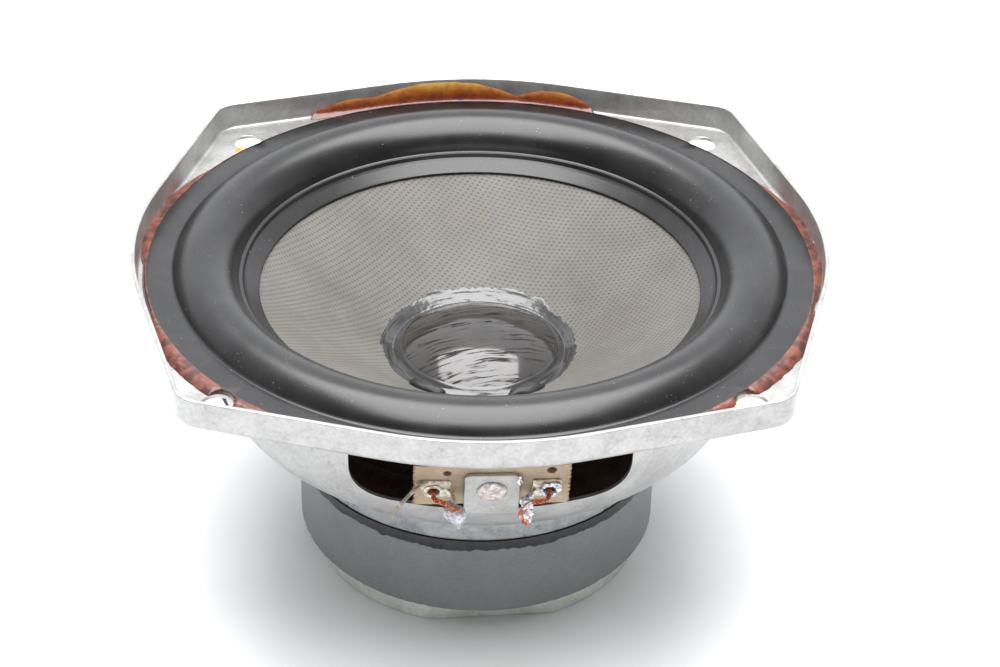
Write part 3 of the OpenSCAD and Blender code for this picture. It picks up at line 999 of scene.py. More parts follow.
@dataclass
class Basket:
    """Pressed steel basket: lip, flange, bowl, windows, tab, shelf and foot."""

    rim: Rim
    tab: TabFrame
    sheet: float = 1.0
    lip_top: float = 85.6
    flange_z: float = 77.8
    bowl_top: Pair = (71.9, 77.8)
    bowl_bend: Pair = (67.3, 47.0)
    bowl_foot: Pair = (56.2, 42.6)
    step_r: float = 47.5
    foot_r: float = 43.5
    foot_z: float = 34.0
    bore_r: float = 22.0
    window: Pair = (64.0, 18.7)
    tab_size: Pair = (12.4, 12.8)

    def bowl(self, offset: float, steps: int = 26) -> list[Pair]:
        """The bowl's curve, moved in by offset.

        Args:
            offset: How far in, in millimetres.
            steps: Straight lengths in the curve.

        Returns:
            Its points as (radius, height).
        """
        a, b, c = (np.array(p) for p in (self.bowl_top, self.bowl_bend, self.bowl_foot))
        out = []
        for t in np.linspace(0, 1, steps + 1):
            place = (1 - t) ** 2 * a + 2 * t * (1 - t) * b + t * t * c
            run = (1 - t) * (b - a) + t * (c - b)
            side = np.array((run[1], -run[0])) / np.linalg.norm(run)
            out.append(tuple(place + offset * side))
        return out

    def loop(self) -> list[Pair]:
        """Closed section as (distance in from the rim, height) points.

        Returns:
            The points of the section, in order.
        """
        big = self.rim.round_r
        t = self.sheet
        top = self.flange_z + t

        def inwards(points: Sequence[Pair]) -> list[Pair]:
            """Turns radii into distances in from the rim."""
            return [(big - r, z) for r, z in points]

        outer = inwards(self.bowl(0.0))
        inner = inwards(self.bowl(t))[::-1]
        foot = inwards([
            (self.step_r, self.bowl_foot[1]), (self.foot_r, self.foot_z),
            (self.bore_r, self.foot_z), (self.bore_r, self.foot_z + t),
            (self.foot_r - t, self.foot_z + t), (self.step_r - t, self.bowl_foot[1] + t)])
        inner_top = (big - self.bowl_top[0] + t, top)
        points = [(0.0, self.lip_top), (0.0, self.flange_z), *outer, *foot, *inner[:-1],
                  inner_top, (t, top), (t, self.lip_top)]
        radii = [0.3, 2.1, 1.2, *[0.0] * (len(outer) - 2), 1.5, 1.5, 1.5, 0.3, 0.3, 0.8, 0.8,
                 *[0.0] * (len(inner) - 1), 2.2, 1.1, 0.3]
        return round_corners(points, radii, 5)

    def spread(self, section: Sequence[Pair]) -> np.ndarray:
        """Carries the section round the rim, from its cornered edge to the round bowl.

        Args:
            section: Points of the section, from loop().

        Returns:
            All points, one row round the rim for each point.
        """
        angles = self.rim.angles()
        unit = np.stack([np.cos(angles), np.sin(angles)], axis=-1)
        edge_in, round_in = 3.4, 10.2
        near = self.rim.at(edge_in)
        far = (self.rim.round_r - round_in) * unit
        rows = []
        for inset, height in section:
            if inset <= edge_in:
                plan = self.rim.at(inset)
            elif inset >= round_in:
                plan = (self.rim.round_r - inset) * unit
            else:
                share = (inset - edge_in) / (round_in - edge_in)
                plan = near * (1 - share) + far * share
            rows.append(np.column_stack([plan, np.full(len(plan), height)]))
        return np.concatenate(rows)

    def refine(self, section: Sequence[Pair]) -> list[Pair]:
        """Splits the section's long runs, so that no row is wider than 1.6 mm.

        Args:
            section: Points of the section.

        Returns:
            The section with more points.
        """
        out: list[Pair] = []
        for i, here in enumerate(section):
            there = section[(i + 1) % len(section)]
            parts = max(1, math.ceil(math.dist(here, there) / 1.6))
            for k in range(parts):
                t = k / parts
                out.append((here[0] * (1 - t) + there[0] * t, here[1] * (1 - t) + there[1] * t))
        return out

    def window_cutter(self, quarter: int) -> bpy.types.Object:
        """A prism with the window's outline, through one side of the bowl.

        Args:
            quarter: Which side, from 0 to 3.

        Returns:
            The prism.
        """
        half, height = self.window[0] / 2, self.window[1]
        outline = round_corners([(-half, 0), (half, 0), (half, height), (-half, height)],
                                [10, 10, 4, 4], 10)
        count = len(outline)
        low = self.tab.foot_z
        points = [(x, -self.bowl_foot[0] + 2, low + z) for x, z in outline]
        points += [(x, -self.bowl_top[0] - 8, low + z) for x, z in outline]
        faces: list[Sequence[int]] = [range(count), range(count, 2 * count)]
        faces += [(i, (i + 1) % count, count + (i + 1) % count, count + i)
                  for i in range(count)]
        cutter = make_piece("window_cutter", np.array(points), faces)
        turn = math.radians(90 * quarter + self.tab.turn)
        cutter.data.transform(Matrix.Rotation(turn, 4, "Z"))
        return cutter

    def hole_cutter(self, x: float, y: float) -> bpy.types.Object:
        """A drill for one mounting hole, flared to break the hole's edges.

        Args:
            x: X of the hole.
            y: Y of the hole.

        Returns:
            The drill.
        """
        low, high, r = self.flange_z, self.flange_z + self.sheet, self.rim.hole_r
        outline = [(0, low - 1), (r + 1.1, low - 1), (r, low + 0.12), (r, high - 0.15),
                   (r + 1.15, high + 1), (0, high + 1)]
        drill = lathe("hole_cutter", outline, 64)
        drill.data.transform(Matrix.Translation(Vector((x, y, 0)) * MM))
        return drill

    def tab_piece(self) -> bpy.types.Object:
        """The flat tab, with rounded upper corners and a soft edge.

        Returns:
            The tab, in place.
        """
        half, tall = self.tab_size[0] / 2, self.tab_size[1]
        outline = round_corners([(-half, -1.6), (half, -1.6), (half, tall), (-half, tall)],
                                [0, 0, 2, 2], 8)
        tab = plate("tab", outline, 0.0, self.sheet, 0.16)
        return self.tab.settle(tab)

    def build(self) -> bpy.types.Object:
        """Builds the basket's mesh.

        Returns:
            The basket.
        """
        section = self.refine(self.loop())
        piece = make_piece("basket_pressing", self.spread(section),
                           ring_faces(len(section), len(self.rim.radii)))
        cutters = [self.window_cutter(quarter) for quarter in range(4)]
        cutters += [self.hole_cutter(sx * self.rim.hole_at, sy * self.rim.hole_at)
                    for sx in (-1, 1) for sy in (-1, 1)]
        combine(piece, cutters, Join.CUT)
        combine(piece, [self.tab_piece()], Join.ADD)
        return piece

    def dress(self, piece: bpy.types.Object) -> None:
        """Gives the basket its plating."""
        finish = Plating("zinc_steel").make()
        hand_over(piece, Body.FIXED, "zinc_steel", finish, "basket")


def plate(name: str, outline: Sequence[Pair], front: float, back: float,
          edge: float = 0.1) -> bpy.types.Object:
    """A flat plate with broken edges, drawn in X and Z and thick along Y.

    Args:
        name: Name of the piece.
        outline: Its outline in X and Z.
        front: Y of its front face.
        back: Y of its back face.
        edge: Width of the broken edge.

    Returns:
        The object.
    """
    count = len(outline)
    flat = np.array(outline, float)
    ahead = np.roll(flat, -1, axis=0) - np.roll(flat, 1, axis=0)
    normal = np.column_stack([ahead[:, 1], -ahead[:, 0]])
    normal /= np.maximum(np.linalg.norm(normal, axis=1, keepdims=True), 1e-9)
    area = 0.5 * np.sum(flat[:, 0] * np.roll(flat[:, 1], -1) - np.roll(flat[:, 0], -1) * flat[:, 1])
    inner = flat - normal * edge * math.copysign(1.0, area)
    rows = [(inner, front), (flat, front + edge), (flat, back - edge), (inner, back)]
    points = np.concatenate([
        np.column_stack([shape[:, 0], np.full(count, y), shape[:, 1]]) for shape, y in rows])
    faces: list[Sequence[int]] = [tuple(range(count)), tuple(range(3 * count, 4 * count))]
    for row in range(3):
        for i in range(count):
            j = (i + 1) % count
            faces.append((row * count + i, row * count + j,
                          (row + 1) * count + j, (row + 1) * count + i))
    return make_piece(name, points, faces, 30)


@dataclass
class Surround:
    """Rolled rubber surround, with its flat flange and its lap on the cone."""

    outer_r: float = 80.9
    flange_top: float = 78.8
    thick: float = 1.1
    roll_centre: Pair = (66.6, 75.6)
    roll_r: float = 8.5
    roll_end: float = 172
    inner_r: float = 53.55
    inner_z: float = 73.35
    ridge: Pair = (58.0, 76.45)
    bends: Pair = (73.6, 58.8)

    def outline(self) -> list[Pair]:
        """Closed section of the rubber.

        Returns:
            Its points as (radius, height).
        """
        top = self.flange_top + self.thick
        start = math.degrees(math.asin((top - self.roll_centre[1]) / self.roll_r))
        under_r = self.roll_r - self.thick
        under = math.degrees(math.asin((self.flange_top - self.roll_centre[1]) / under_r))
        over = arc(self.roll_centre, self.roll_r, start, self.roll_end - 2, 40)
        inner = arc(self.roll_centre, under_r, self.roll_end, under, 32)
        rx, rz = self.ridge
        slope = (rz - self.inner_z) / (rx - self.inner_r)
        lap = [(rx - 0.15, rz + 0.45), (rx - 0.55, rz + 0.42), (rx - 0.9, rz - 0.55),
               (rx - 1.5, rz - 1.5 * slope), (self.inner_r + 0.5, self.inner_z + 0.5 * slope),
               (self.inner_r, self.inner_z), (self.inner_r, self.inner_z - 0.5),
               (rx + 0.9, rz - 0.45)]
        edge = [(self.outer_r, self.flange_top), (self.outer_r, top)]
        crease = [(over[0][0] + 1.6, top), (over[0][0] + 0.55, top - 0.12)]
        raw = [*edge, *crease, *over, *lap, *inner]
        radii = [0.2, 0.4, 0.6, 0.3, *[0.0] * len(over), 0.25, 0.25, 0.35, 0.8, 0.8, 0.15,
                 0.1, 0.8, *[0.0] * len(inner)]
        return round_corners(raw, radii, 4)

    def build(self, rim: Rim) -> bpy.types.Object:
        """Builds the surround's mesh, trimmed round the mounting holes.

        Args:
            rim: The basket's rim, with its holes.

        Returns:
            The surround.
        """
        piece = lathe("surround_rubber", self.outline(), 480, 50)
        for v in piece.data.vertices:
            radius = math.hypot(v.co.x, v.co.y) / MM
            if radius > self.outer_r - 0.6:
                most = rim.clear_of_holes(math.atan2(v.co.x, -v.co.y), 0.15)
                pull = min(1.0, most / radius)
                v.co.x *= pull
                v.co.y *= pull
        return piece

    def dress(self, piece: bpy.types.Object) -> None:
        """Gives the surround its rubber and bakes its transform into its mesh."""
        dress_bending(piece, Rubber().make(), "surround")
        stretch_radially(piece, *self.bends)


@dataclass
class Spider:
    """Corrugated cloth ring that centres the coil."""

    inner_r: float = 18.05
    outer_r: float = 54.5
    land: Pair = (21.0, 50.0)
    low_z: float = 43.6
    thick: float = 0.6
    waves: int = 6
    wave_h: float = 3.0

    def middle(self, radius: float) -> float:
        """Height of the cloth's middle at a radius.

        Args:
            radius: The radius, in millimetres.

        Returns:
            The height, in millimetres.
        """
        share = (radius - self.land[0]) / (self.land[1] - self.land[0])
        share = min(1.0, max(0.0, share))
        wave = (1 - math.cos(TURN * self.waves * share)) / 2
        return self.low_z + self.thick / 2 + self.wave_h * wave

    def build(self) -> bpy.types.Object:
        """Builds the spider's mesh.

        Returns:
            The spider.
        """
        radii = np.concatenate([[self.inner_r], np.linspace(*self.land, 97), [self.outer_r]])
        top = [(r, self.middle(r) + self.thick / 2) for r in radii]
        low = [(r, self.middle(r) - self.thick / 2) for r in radii[::-1]]
        return lathe("spider_ring", [*top, *low], 192, 50)

    def dress(self, piece: bpy.types.Object) -> None:
        """Gives the spider its cloth and bakes its transform into its mesh."""
        dress_bending(piece, SpiderCloth().make(), "spider")
        stretch_radially(piece, self.land[1], self.land[0])


@dataclass
class ConeAssembly:
    """The moving pieces: cone, dust cap, glue, former, winding and lead anchors."""

    edge: Pair = (58.0, 75.1)
    slope: float = 30.4
    thick: float = 0.8
    former_r: float = 17.75
    collar_z: float = 49.5
    cap_r: float = 18.8
    cap_z: float = 55.3
    cap_rise: float = 4.7
    cap_skin: float = 0.6
    skirt: tuple[Pair, ...] = ((19.5, 54.85), (20.1, 54.2))
    skirt_r: float = 20.9
    glue_r: float = 24.2
    glue_film: float = 0.22
    lump_size: tuple[float, float, float] = (5.2, 2.6, 1.8)
    lump_at: tuple[float, float, float] = (30.0, -3.0, 23.7)
    lump_proud: float = 0.5

    def face(self, radius: float) -> float:
        """Height of the cone's face at a radius."""
        return self.edge[1] - (self.edge[0] - radius) * math.tan(math.radians(self.slope))

    def cone(self) -> bpy.types.Object:
        """The cone, with a collar round the coil former.

        Returns:
            The cone.
        """
        down = self.thick / math.cos(math.radians(self.slope))
        collar = self.former_r + self.thick
        radii = np.linspace(self.edge[0], self.former_r + 0.3, 60)
        face = [(r, self.face(r)) for r in radii]
        back = [(r, self.face(r) - down) for r in np.linspace(collar + 0.4, self.edge[0], 30)]
        outline = [*face, (self.former_r, self.face(self.former_r) - 0.3),
                   (self.former_r, self.collar_z), (collar, self.collar_z),
                   (collar, self.face(collar) - down - 0.4), *back]
        return lathe("cone_shell", outline, 320, 45)

    def cap(self) -> bpy.types.Object:
        """The dust cap: a low dome, slightly uneven, with its skirt on the cone.

        Returns:
            The dust cap.
        """
        dome_r = (self.cap_r ** 2 + self.cap_rise ** 2) / (2 * self.cap_rise)
        centre = self.cap_z + self.cap_rise - dome_r
        reach_a = math.asin(self.cap_r / dome_r)
        angles = np.linspace(0, reach_a, 36)
        dome = [(dome_r * math.sin(a), centre + dome_r * math.cos(a)) for a in angles]
        inner_r = dome_r - self.cap_skin
        inner = [(inner_r * math.sin(a), centre + inner_r * math.cos(a)) for a in angles[::-1]]
        hem, foot = self.skirt_r, self.face(self.skirt_r)
        skirt = [*self.skirt, (hem, foot + 0.25), (hem, foot), (hem - 1, self.face(hem - 1))]
        piece = lathe("dust_cap_dome", [*dome, *skirt, *inner], 192, 50)
        for v in piece.data.vertices:
            x, y = v.co.x / MM, v.co.y / MM
            v.co.z += 0.07 * MM * wander((x, y, 3.0), 8.0, 2)
        return piece

    def cap_glue(self) -> bpy.types.Object:
        """The brushed glue: a ragged ring that fills the groove round the cap.

        Returns:
            The ring of glue.
        """
        columns, rows = 360, 22
        inner_r = self.cap_r + 0.2
        over_skirt, over_hem = (z + cover for (_, z), cover in zip(self.skirt, (0.13, 0.2)))
        edge_r = self.skirt_r + 0.5
        cover_r = (inner_r, self.skirt[0][0], self.skirt[1][0], edge_r)
        cover_z = (self.cap_z - 0.05, over_skirt, over_hem, self.face(edge_r))
        top, low = [], []
        for j in range(columns):
            a = TURN * j / columns
            way = (math.sin(a), -math.cos(a))
            rag = 1.1 * wander((way[0] * 9, way[1] * 9, 1.0), 2.6, 5)
            rag += 0.5 * wander((way[0] * 30, way[1] * 30, 5.0), 1.7, 3)
            back = max(0.0, way[1])
            outer_r = self.glue_r + rag + 0.9 * back
            for i in range(rows):
                t = i / (rows - 1)
                r = inner_r + (outer_r - inner_r) * t
                film = self.glue_film * (1 - t) ** 0.7
                rough = 0.12 * wander((way[0] * r, way[1] * r, 2.0), 1.5, 4)
                skin = self.face(r) + max(0.02, film + rough * (1 - t))
                z = max(float(np.interp(r, cover_r, cover_z)), skin)
                bottom = self.face(r) - 0.12 if r >= self.skirt_r else 54.0
                top.append((r * way[0], r * way[1], z if t < 1 else self.face(r) - 0.05))
                low.append((r * way[0], r * way[1], min(bottom, z - 0.05)))
        return make_shell("cap_glue_ring", top, low, columns)

    def lump(self, side: Side) -> bpy.types.Object:
        """One black glue lump, long across the cone and flat.

        Args:
            side: Which of the two.

        Returns:
            The lump.
        """
        apart, shift, r = self.lump_at
        turn = math.radians(side * apart + shift)
        wide, long, tall = self.lump_size
        points, rows, columns = [], 14, 28
        for i in range(rows + 1):
            up = math.pi * i / rows - math.pi / 2
            for j in range(columns):
                a = TURN * j / columns
                across, along = math.cos(up) * math.cos(a), math.cos(up) * math.sin(a)
                grow = 1 + 0.22 * wander((across * 2 + side * 7, along * 2, up), 1.3, 3)
                points.append((across * wide * grow, along * long * grow,
                               math.sin(up) * tall * grow))
        piece = make_piece(f"anchor_lump_{side.label}", np.array(points),
                           ring_faces(rows + 1, columns, False), 60)
        lie = (Matrix.Rotation(turn, 4, "Z")
               @ Matrix.Translation(Vector((0, -r, self.face(r) + self.lump_proud)) * MM)
               @ Matrix.Rotation(math.radians(-self.slope), 4, "X"))
        piece.data.transform(lie)
        tidy_mesh(piece, 60)
        return piece

    def build(self) -> None:
        """Builds and dresses every moving piece."""
        black = Adhesive("anchor_glue", (0.003, 0.003, 0.004), (0.008, 0.008, 0.009), 0.5,
                         coat=0.12)
        hand_over(self.cone(), Body.MOVING, "woven_cone", WovenCone().make(), "cone")
        hand_over(self.cap(), Body.MOVING, "lacquered_cap", CapLacquer().make(), "dust_cap")
        hand_over(self.cap_glue(), Body.MOVING, "cap_glue", CapGlue().make(),
                  "dust_cap_adhesive")
        glue = black.make()
        for side in Side:
            hand_over(self.lump(side), Body.MOVING, "black_adhesive", glue,
                      f"lead_anchor_{side.label}")
        foil = Wrought("former_foil", (0.62, 0.58, 0.50), (0.35, 0.31, 0.25), 0.35, 4.0)
        dress_node("coil_former", foil.make())
        dress_node("coil_winding", CoilWire().make())


def dress_node(node: str, finish: bpy.types.Material) -> None:
    """Gives a CAD node that stays in view its finish.

    Args:
        node: Name of the CAD node.
        finish: Its material.
    """
    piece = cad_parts[node]
    piece.data.materials.clear()
    piece.data.materials.append(finish)
    LOG.info("%s: CAD node kept", node)


@dataclass
class Motor:
    """The fixed magnet system below the basket."""

    magnet_r: float = 45.0
    plate: Pair = (28.5, 34.0)
    magnet_z: Pair = (6.6, 28.5)
    gap_r: float = 19.1
    magnet_bore: float = 24.0
    back_r: float = 41.9
    back_flat: float = 39.0
    back_turn: float = 4.2
    spigot_r: float = 12.0
    pole: Pair = (17.1, 35.0)
    band_fall: float = 2.7
    band_proud: float = 0.26

    def ring(self, name: str, inner: float, outer: float, heights: Pair,
             edge: float) -> bpy.types.Object:
        """A flat ring with broken edges.

        Args:
            name: Name of the piece.
            inner: Radius of its bore.
            outer: Its outer radius.
            heights: Z of its underside and of its top.
            edge: Size of its broken outer edges.

        Returns:
            The ring.
        """
        low, high = heights
        outline = round_corners(
            [(inner, low), (outer, low), (outer, high), (inner, high)],
            [0.2, edge, edge, 0.2], 4)
        return lathe(name, outline, 256)

    def magnet(self) -> bpy.types.Object:
        """The ferrite ring, with small chips along its lower edge.

        Returns:
            The magnet.
        """
        low, high = self.magnet_z
        r = self.magnet_r
        side = [(r, z) for z in np.linspace(low + 0.7, high - 0.3, 24)]
        outline = [(self.magnet_bore, low), (r - 2.0, low), (r - 0.75, low), (r - 0.3, low + 0.25),
                   *side, (r - 0.3, high), (self.magnet_bore, high)]
        piece = lathe("magnet_ring", outline, 360)
        for v in piece.data.vertices:
            x, y, z = (c / MM for c in v.co)
            radius = math.hypot(x, y)
            if radius < r - 1.2:
                continue
            near_edge = max(0.0, 1 - abs(z - low - 0.4) / 1.1)
            chip = max(0.0, wander((x, y, z), 1.8, 3) - 0.28) * near_edge
            face_dent = 0.03 * wander((x, y, z), 4.0, 3)
            pull = 1 - (0.9 * chip + abs(face_dent)) / radius
            v.co.x *= pull
            v.co.y *= pull
        return piece

    def band(self) -> bpy.types.Object:
        """Squeezed-out adhesive: level on top, with a ragged lower edge.

        Returns:
            The band of adhesive.
        """
        columns = 720
        high = self.magnet_z[1]
        r = self.magnet_r
        over, under = [], []
        rows = 7
        for j in range(columns):
            a = TURN * j / columns
            way = (math.sin(a), -math.cos(a))
            fall = self.band_fall + 0.55 * wander((way[0] * r, way[1] * r, 0), 2.2, 4)
            fall += 0.9 * max(0.0, wander((way[0] * r, way[1] * r, 9), 6, 2))
            for i in range(rows):
                t = i / (rows - 1)
                z = high + 0.05 - fall * t
                bulge = self.band_proud + 0.12 * math.sin(math.pi * t) - 0.22 * t ** 4
                bulge += 0.05 * wander((way[0] * r, way[1] * r, z), 1.2, 3)
                over.append(((r + bulge) * way[0], (r + bulge) * way[1], z))
                under.append(((r - 0.3) * way[0], (r - 0.3) * way[1], z))
        return make_shell("adhesive_band", over, under, columns)

    def back_plate(self) -> bpy.types.Object:
        """The back plate: a disc with four flats sawn on it and broken edges.

        Returns:
            The back plate.
        """
        high = self.magnet_z[0]
        columns = 720
        angles = np.linspace(0, TURN, columns, endpoint=False)
        quarter = (angles - math.radians(self.back_turn) + math.pi / 4) % (math.pi / 2)
        flat = self.back_flat / np.cos(quarter - math.pi / 4)
        edge = np.minimum(self.back_r, flat)
        rows = [(self.spigot_r, 0.0, False), (-0.9, 0.0, True), (-0.25, 0.2, True),
                (0.0, 0.9, True), (0.0, high - 0.7, True), (-0.2, high - 0.2, True),
                (-0.7, high, True), (self.spigot_r, high, False)]
        points = []
        for value, z, from_edge in rows:
            radius = edge + value if from_edge else np.full(columns, value)
            points.append(np.column_stack(
                [radius * np.sin(angles), -radius * np.cos(angles), np.full(columns, z)]))
        return make_piece("back_disc", np.concatenate(points),
                          ring_faces(len(rows), columns), 25)

    def pole_piece(self) -> bpy.types.Object:
        """The pole, with a turned dimple and a staked ring in its back face.

        Returns:
            The pole.
        """
        high = self.magnet_z[0]
        r, top = self.pole
        outline = [(0, 1.1), (2.2, 0.5), (3.0, 0.0), (9.6, 0.0), (9.9, 0.45), (10.6, 0.45),
                   (10.9, 0.0), (self.spigot_r, 0.0), (self.spigot_r, high), (r, high),
                   (r, top - 0.8), (r - 0.8, top), (0, top)]
        return lathe("pole_post", outline, 192)

    def build(self) -> None:
        """Builds and dresses the magnet system."""
        blue = Plating("plated_steel", (0.36, 0.375, 0.38), (0.20, 0.21, 0.215),
                       stains=0.5, rough=0.30, cloud=4.0).make()
        green = Plating("green_zinc", (0.78, 0.81, 0.76), (0.56, 0.60, 0.54),
                        stains=0.45, rough=0.38, metal=0.5, cloud=5.0).make()
        hand_over(self.ring("top_ring", self.gap_r, self.magnet_r, self.plate, 0.6),
                  Body.FIXED, "plated_steel", blue, "top_plate")
        hand_over(self.magnet(), Body.FIXED, "ferrite", Ferrite().make(), "magnet")
        black = Adhesive("band_glue", (0.004, 0.004, 0.005), (0.014, 0.014, 0.016), 0.5,
                         coat=0.1)
        hand_over(self.band(), Body.FIXED, "black_adhesive", black.make(), "magnet_adhesive")
        hand_over(self.back_plate(), Body.FIXED, "green_zinc", green, "back_plate")
        hand_over(self.pole_piece(), Body.FIXED, "green_zinc", green, "pole_piece")
        dress_node("plate_rivets", Plating("rivet_zinc").make())


@dataclass
class RimGlue:
    """Contact adhesive that squeezed out round the surround, and its runs."""

    rim: Rim
    inner_r: float = 80.3
    floor_z: float = 78.8
    wall_in: float = 1.03
    bead_h: float = 1.2
    bead_w: float = 0.9
    climb: float = 1.15
    run_film: float = 0.42
    run_span: Pair = (-31.2, 22.9)
    swells: tuple[tuple[float, float, float], ...] = (
        (-50, 24, 2.7), (-106, 17, 2.8), (58, 17, 2.5), (98, 21, 2.5), (42, 7, 1.2))
    runs: tuple[tuple[float, float, float], ...] = (
        (-6.5, 16.0, 5.9), (-22.0, 9.0, 3.6), (14.8, 8.0, 4.4))

    def width(self, angle: float) -> float:
        """Width of the bead at an angle from the -Y axis, in radians.

        Args:
            angle: The angle.

        Returns:
            The width, in millimetres.
        """
        around = math.degrees(angle)
        swell = 0.0
        for centre, half, most in self.swells:
            off = ((around - centre + 180) % 360 - 180) / half
            swell = max(swell, most * (1 - min(1.0, off * off)) ** 0.8)
        place = (math.sin(angle) * 80, math.cos(angle) * 80, 0)
        rag = 0.22 * wander(place, 7, 3) + 0.05 * wander(place, 2.2, 2)
        return self.bead_w + swell + rag * (0.7 + 0.6 * swell)

    def build(self) -> bpy.types.Object:
        """The bead: rounded beside the rubber, and climbing the wall where it meets it.

        Returns:
            The bead.
        """
        columns, rows = 1440, 12
        over, under = [], []
        edge = self.rim.at(self.wall_in)
        around = np.arctan2(edge[:, 0], -edge[:, 1])
        order = np.argsort(around)
        wall_a, wall_r = around[order], np.hypot(edge[:, 0], edge[:, 1])[order]
        for j in range(columns):
            a = TURN * j / columns - math.pi
            way = (math.sin(a), -math.cos(a))
            wall = float(np.interp(a, wall_a, wall_r, period=TURN))
            wide = self.width(a)
            outer = min(self.inner_r + wide, wall, self.rim.clear_of_holes(a))
            spill = max(0.0, self.inner_r + wide - wall)
            for i in range(rows):
                t = i / (rows - 1)
                r = self.inner_r + (outer - self.inner_r) * t
                hump = self.bead_h * (1 - t ** 2.2)
                place = (way[0] * r, way[1] * r, 0)
                rough = 0.09 * wander(place, 3.0, 3) + 0.03 * wander(place, 1.1, 2)
                z = self.floor_z + max(0.04, hump + rough * min(1.0, 4 * (1 - t)))
                if spill > 0:
                    z += self.climb * spill * t ** 2.5
                over.append((r * way[0], r * way[1], z))
                under.append((r * way[0], r * way[1], self.floor_z - 0.05))
        return make_shell("rim_glue_bead", over, under, columns)

    def run_height(self, around: float) -> float:
        """How far up the back lip the run reaches, at degrees from the +Y axis.

        Args:
            around: The angle.

        Returns:
            The height above the flange, in millimetres.
        """
        top = 0.0
        for centre, half, most in self.runs:
            off = (around - centre) / half
            top = max(top, most * (1 - min(1.0, off * off)) ** 0.7)
        return top + 0.22 * wander((around, 3.0, 0.0), 2.0, 4) * min(1.0, top)

    def back_run(self) -> bpy.types.Object:
        """The amber run, a thin skin up the inside of the back lip.

        Returns:
            The run.
        """
        columns, rows = 260, 22
        first, last = self.run_span
        bend = 1.3
        points = []
        for j in range(columns):
            skin, under = [], []
            around = first + (last - first) * j / (columns - 1)
            tall = max(0.02, self.run_height(around))
            angle = math.pi - math.radians(around)
            for i in range(rows):
                t = i / (rows - 1)
                rise = tall * t
                lean = max(0.0, 1 - rise / bend) ** 2
                inset = self.wall_in + bend * lean
                place = (around * 1.45, rise, 0)
                film = self.run_film * (1 - t) ** 0.6 + 0.10 * (1 - t ** 5)
                film += 0.10 * wander(place, 1.6, 3) * (1 - t)
                film *= min(1.0, tall)
                x, y = self.rim.point(angle, inset + max(0.02, film))
                skin.append((x, y, self.floor_z + 0.1 + rise))
                x, y = self.rim.point(angle, self.wall_in - 0.12)
                under.append((x, y, self.floor_z - 0.1 + rise))
            points += skin + under[::-1]
        loop = 2 * rows
        faces = ring_faces(columns, loop, False)
        for start in (0, (columns - 1) * loop):
            faces += [(start + i, start + i + 1, start + loop - 2 - i, start + loop - 1 - i)
                      for i in range(rows - 1)]
        return make_piece("amber_run", np.array(points), faces, 60)

    def puddle(self, name: str, place: Pair, size: Pair, turn: float) -> bpy.types.Object:
        """A thin pool of glue on the flange, beside a mounting hole.

        Args:
            name: Name of the piece.
            place: Its middle, as X and Y.
            size: Half its length and half its width.
            turn: Angle of its length from the X axis, in degrees.

        Returns:
            The object.
        """
        columns, rows = 96, 9
        cos_t, sin_t = math.cos(math.radians(turn)), math.sin(math.radians(turn))
        over, under = [], []
        for i in range(rows):
            t = i / (rows - 1)
            for j in range(columns):
                a = TURN * j / columns
                way = (math.cos(a), math.sin(a))
                rag = 1 + 0.30 * wander((way[0] * 3 + place[0], way[1] * 3, 0), 1.3, 4)
                u, v = size[0] * t * rag * way[0], size[1] * t * rag * way[1]
                x = place[0] + u * cos_t - v * sin_t
                y = place[1] + u * sin_t + v * cos_t
                angle = math.atan2(x, -y)
                most = min(1.0, self.rim.clear_of_holes(angle) / math.hypot(x, y))
                x, y = x * most, y * most
                lift = 0.40 * (1 - t ** 2) + 0.08 * wander((x, y, 4), 1.1, 3) * (1 - t)
                over.append((x, y, self.floor_z + max(0.03, lift)))
                under.append((x, y, self.floor_z - 0.04))
        top = np.array(over).reshape(rows, columns, 3)
        low = np.array(under).reshape(rows, columns, 3)[::-1]
        points = np.concatenate([top.reshape(-1, 3), low.reshape(-1, 3)])
        return make_piece(name, points, ring_faces(2 * rows, columns, False), 60)

    def dress(self) -> None:
        """Builds the bead, the run and the pools and gives them their adhesive."""
        red = Adhesive("brown_adhesive", (0.185, 0.050, 0.028), (0.055, 0.013, 0.008), 0.24,
                       relief=0.07, coat=0.35)
        hand_over(self.build(), Body.FIXED, "brown_adhesive", red.make(), "surround_adhesive")
        amber = AmberGlue()
        hand_over(self.back_run(), Body.FIXED, "brown_adhesive", amber.make())
        yellow = Adhesive("yellow_adhesive", (0.78, 0.58, 0.26), (0.50, 0.24, 0.05), 0.15)
        pale = yellow.make()
        pools = (("near_right", (56.6, -59.4), (5.2, 1.7), 22),
                 ("near_left", (-55.4, -60.6), (4.2, 1.3), -28),
                 ("far_left", (-60.8, 56.0), (3.4, 1.2), 60))
        for name, place, size, turn in pools:
            pool = self.puddle(f"glue_pool_{name}", place, size, turn)
            hand_over(pool, Body.FIXED, "brown_adhesive", pale)


def smooth_path(points: Sequence[Sequence[float]], gap: float) -> np.ndarray:
    """A smooth curve through points, cut into steps of about one gap.

    Args:
        points: Points that the curve passes through.
        gap: Length of one step, in millimetres.

    Returns:
        The curve's points.
    """
    p = np.array(points, float)
    p = np.vstack([2 * p[0] - p[1], p, 2 * p[-1] - p[-2]])
    out = []
    for i in range(1, len(p) - 2):
        steps = max(2, math.ceil(np.linalg.norm(p[i + 1] - p[i]) / gap))
        for k in range(steps):
            t = k / steps
            out.append(0.5 * (2 * p[i] + (p[i + 1] - p[i - 1]) * t
                              + (2 * p[i - 1] - 5 * p[i] + 4 * p[i + 1] - p[i + 2]) * t ** 2
                              + (3 * p[i] - p[i - 1] - 3 * p[i + 1] + p[i + 2]) * t ** 3))
    out.append(p[-2])
    return np.array(out)


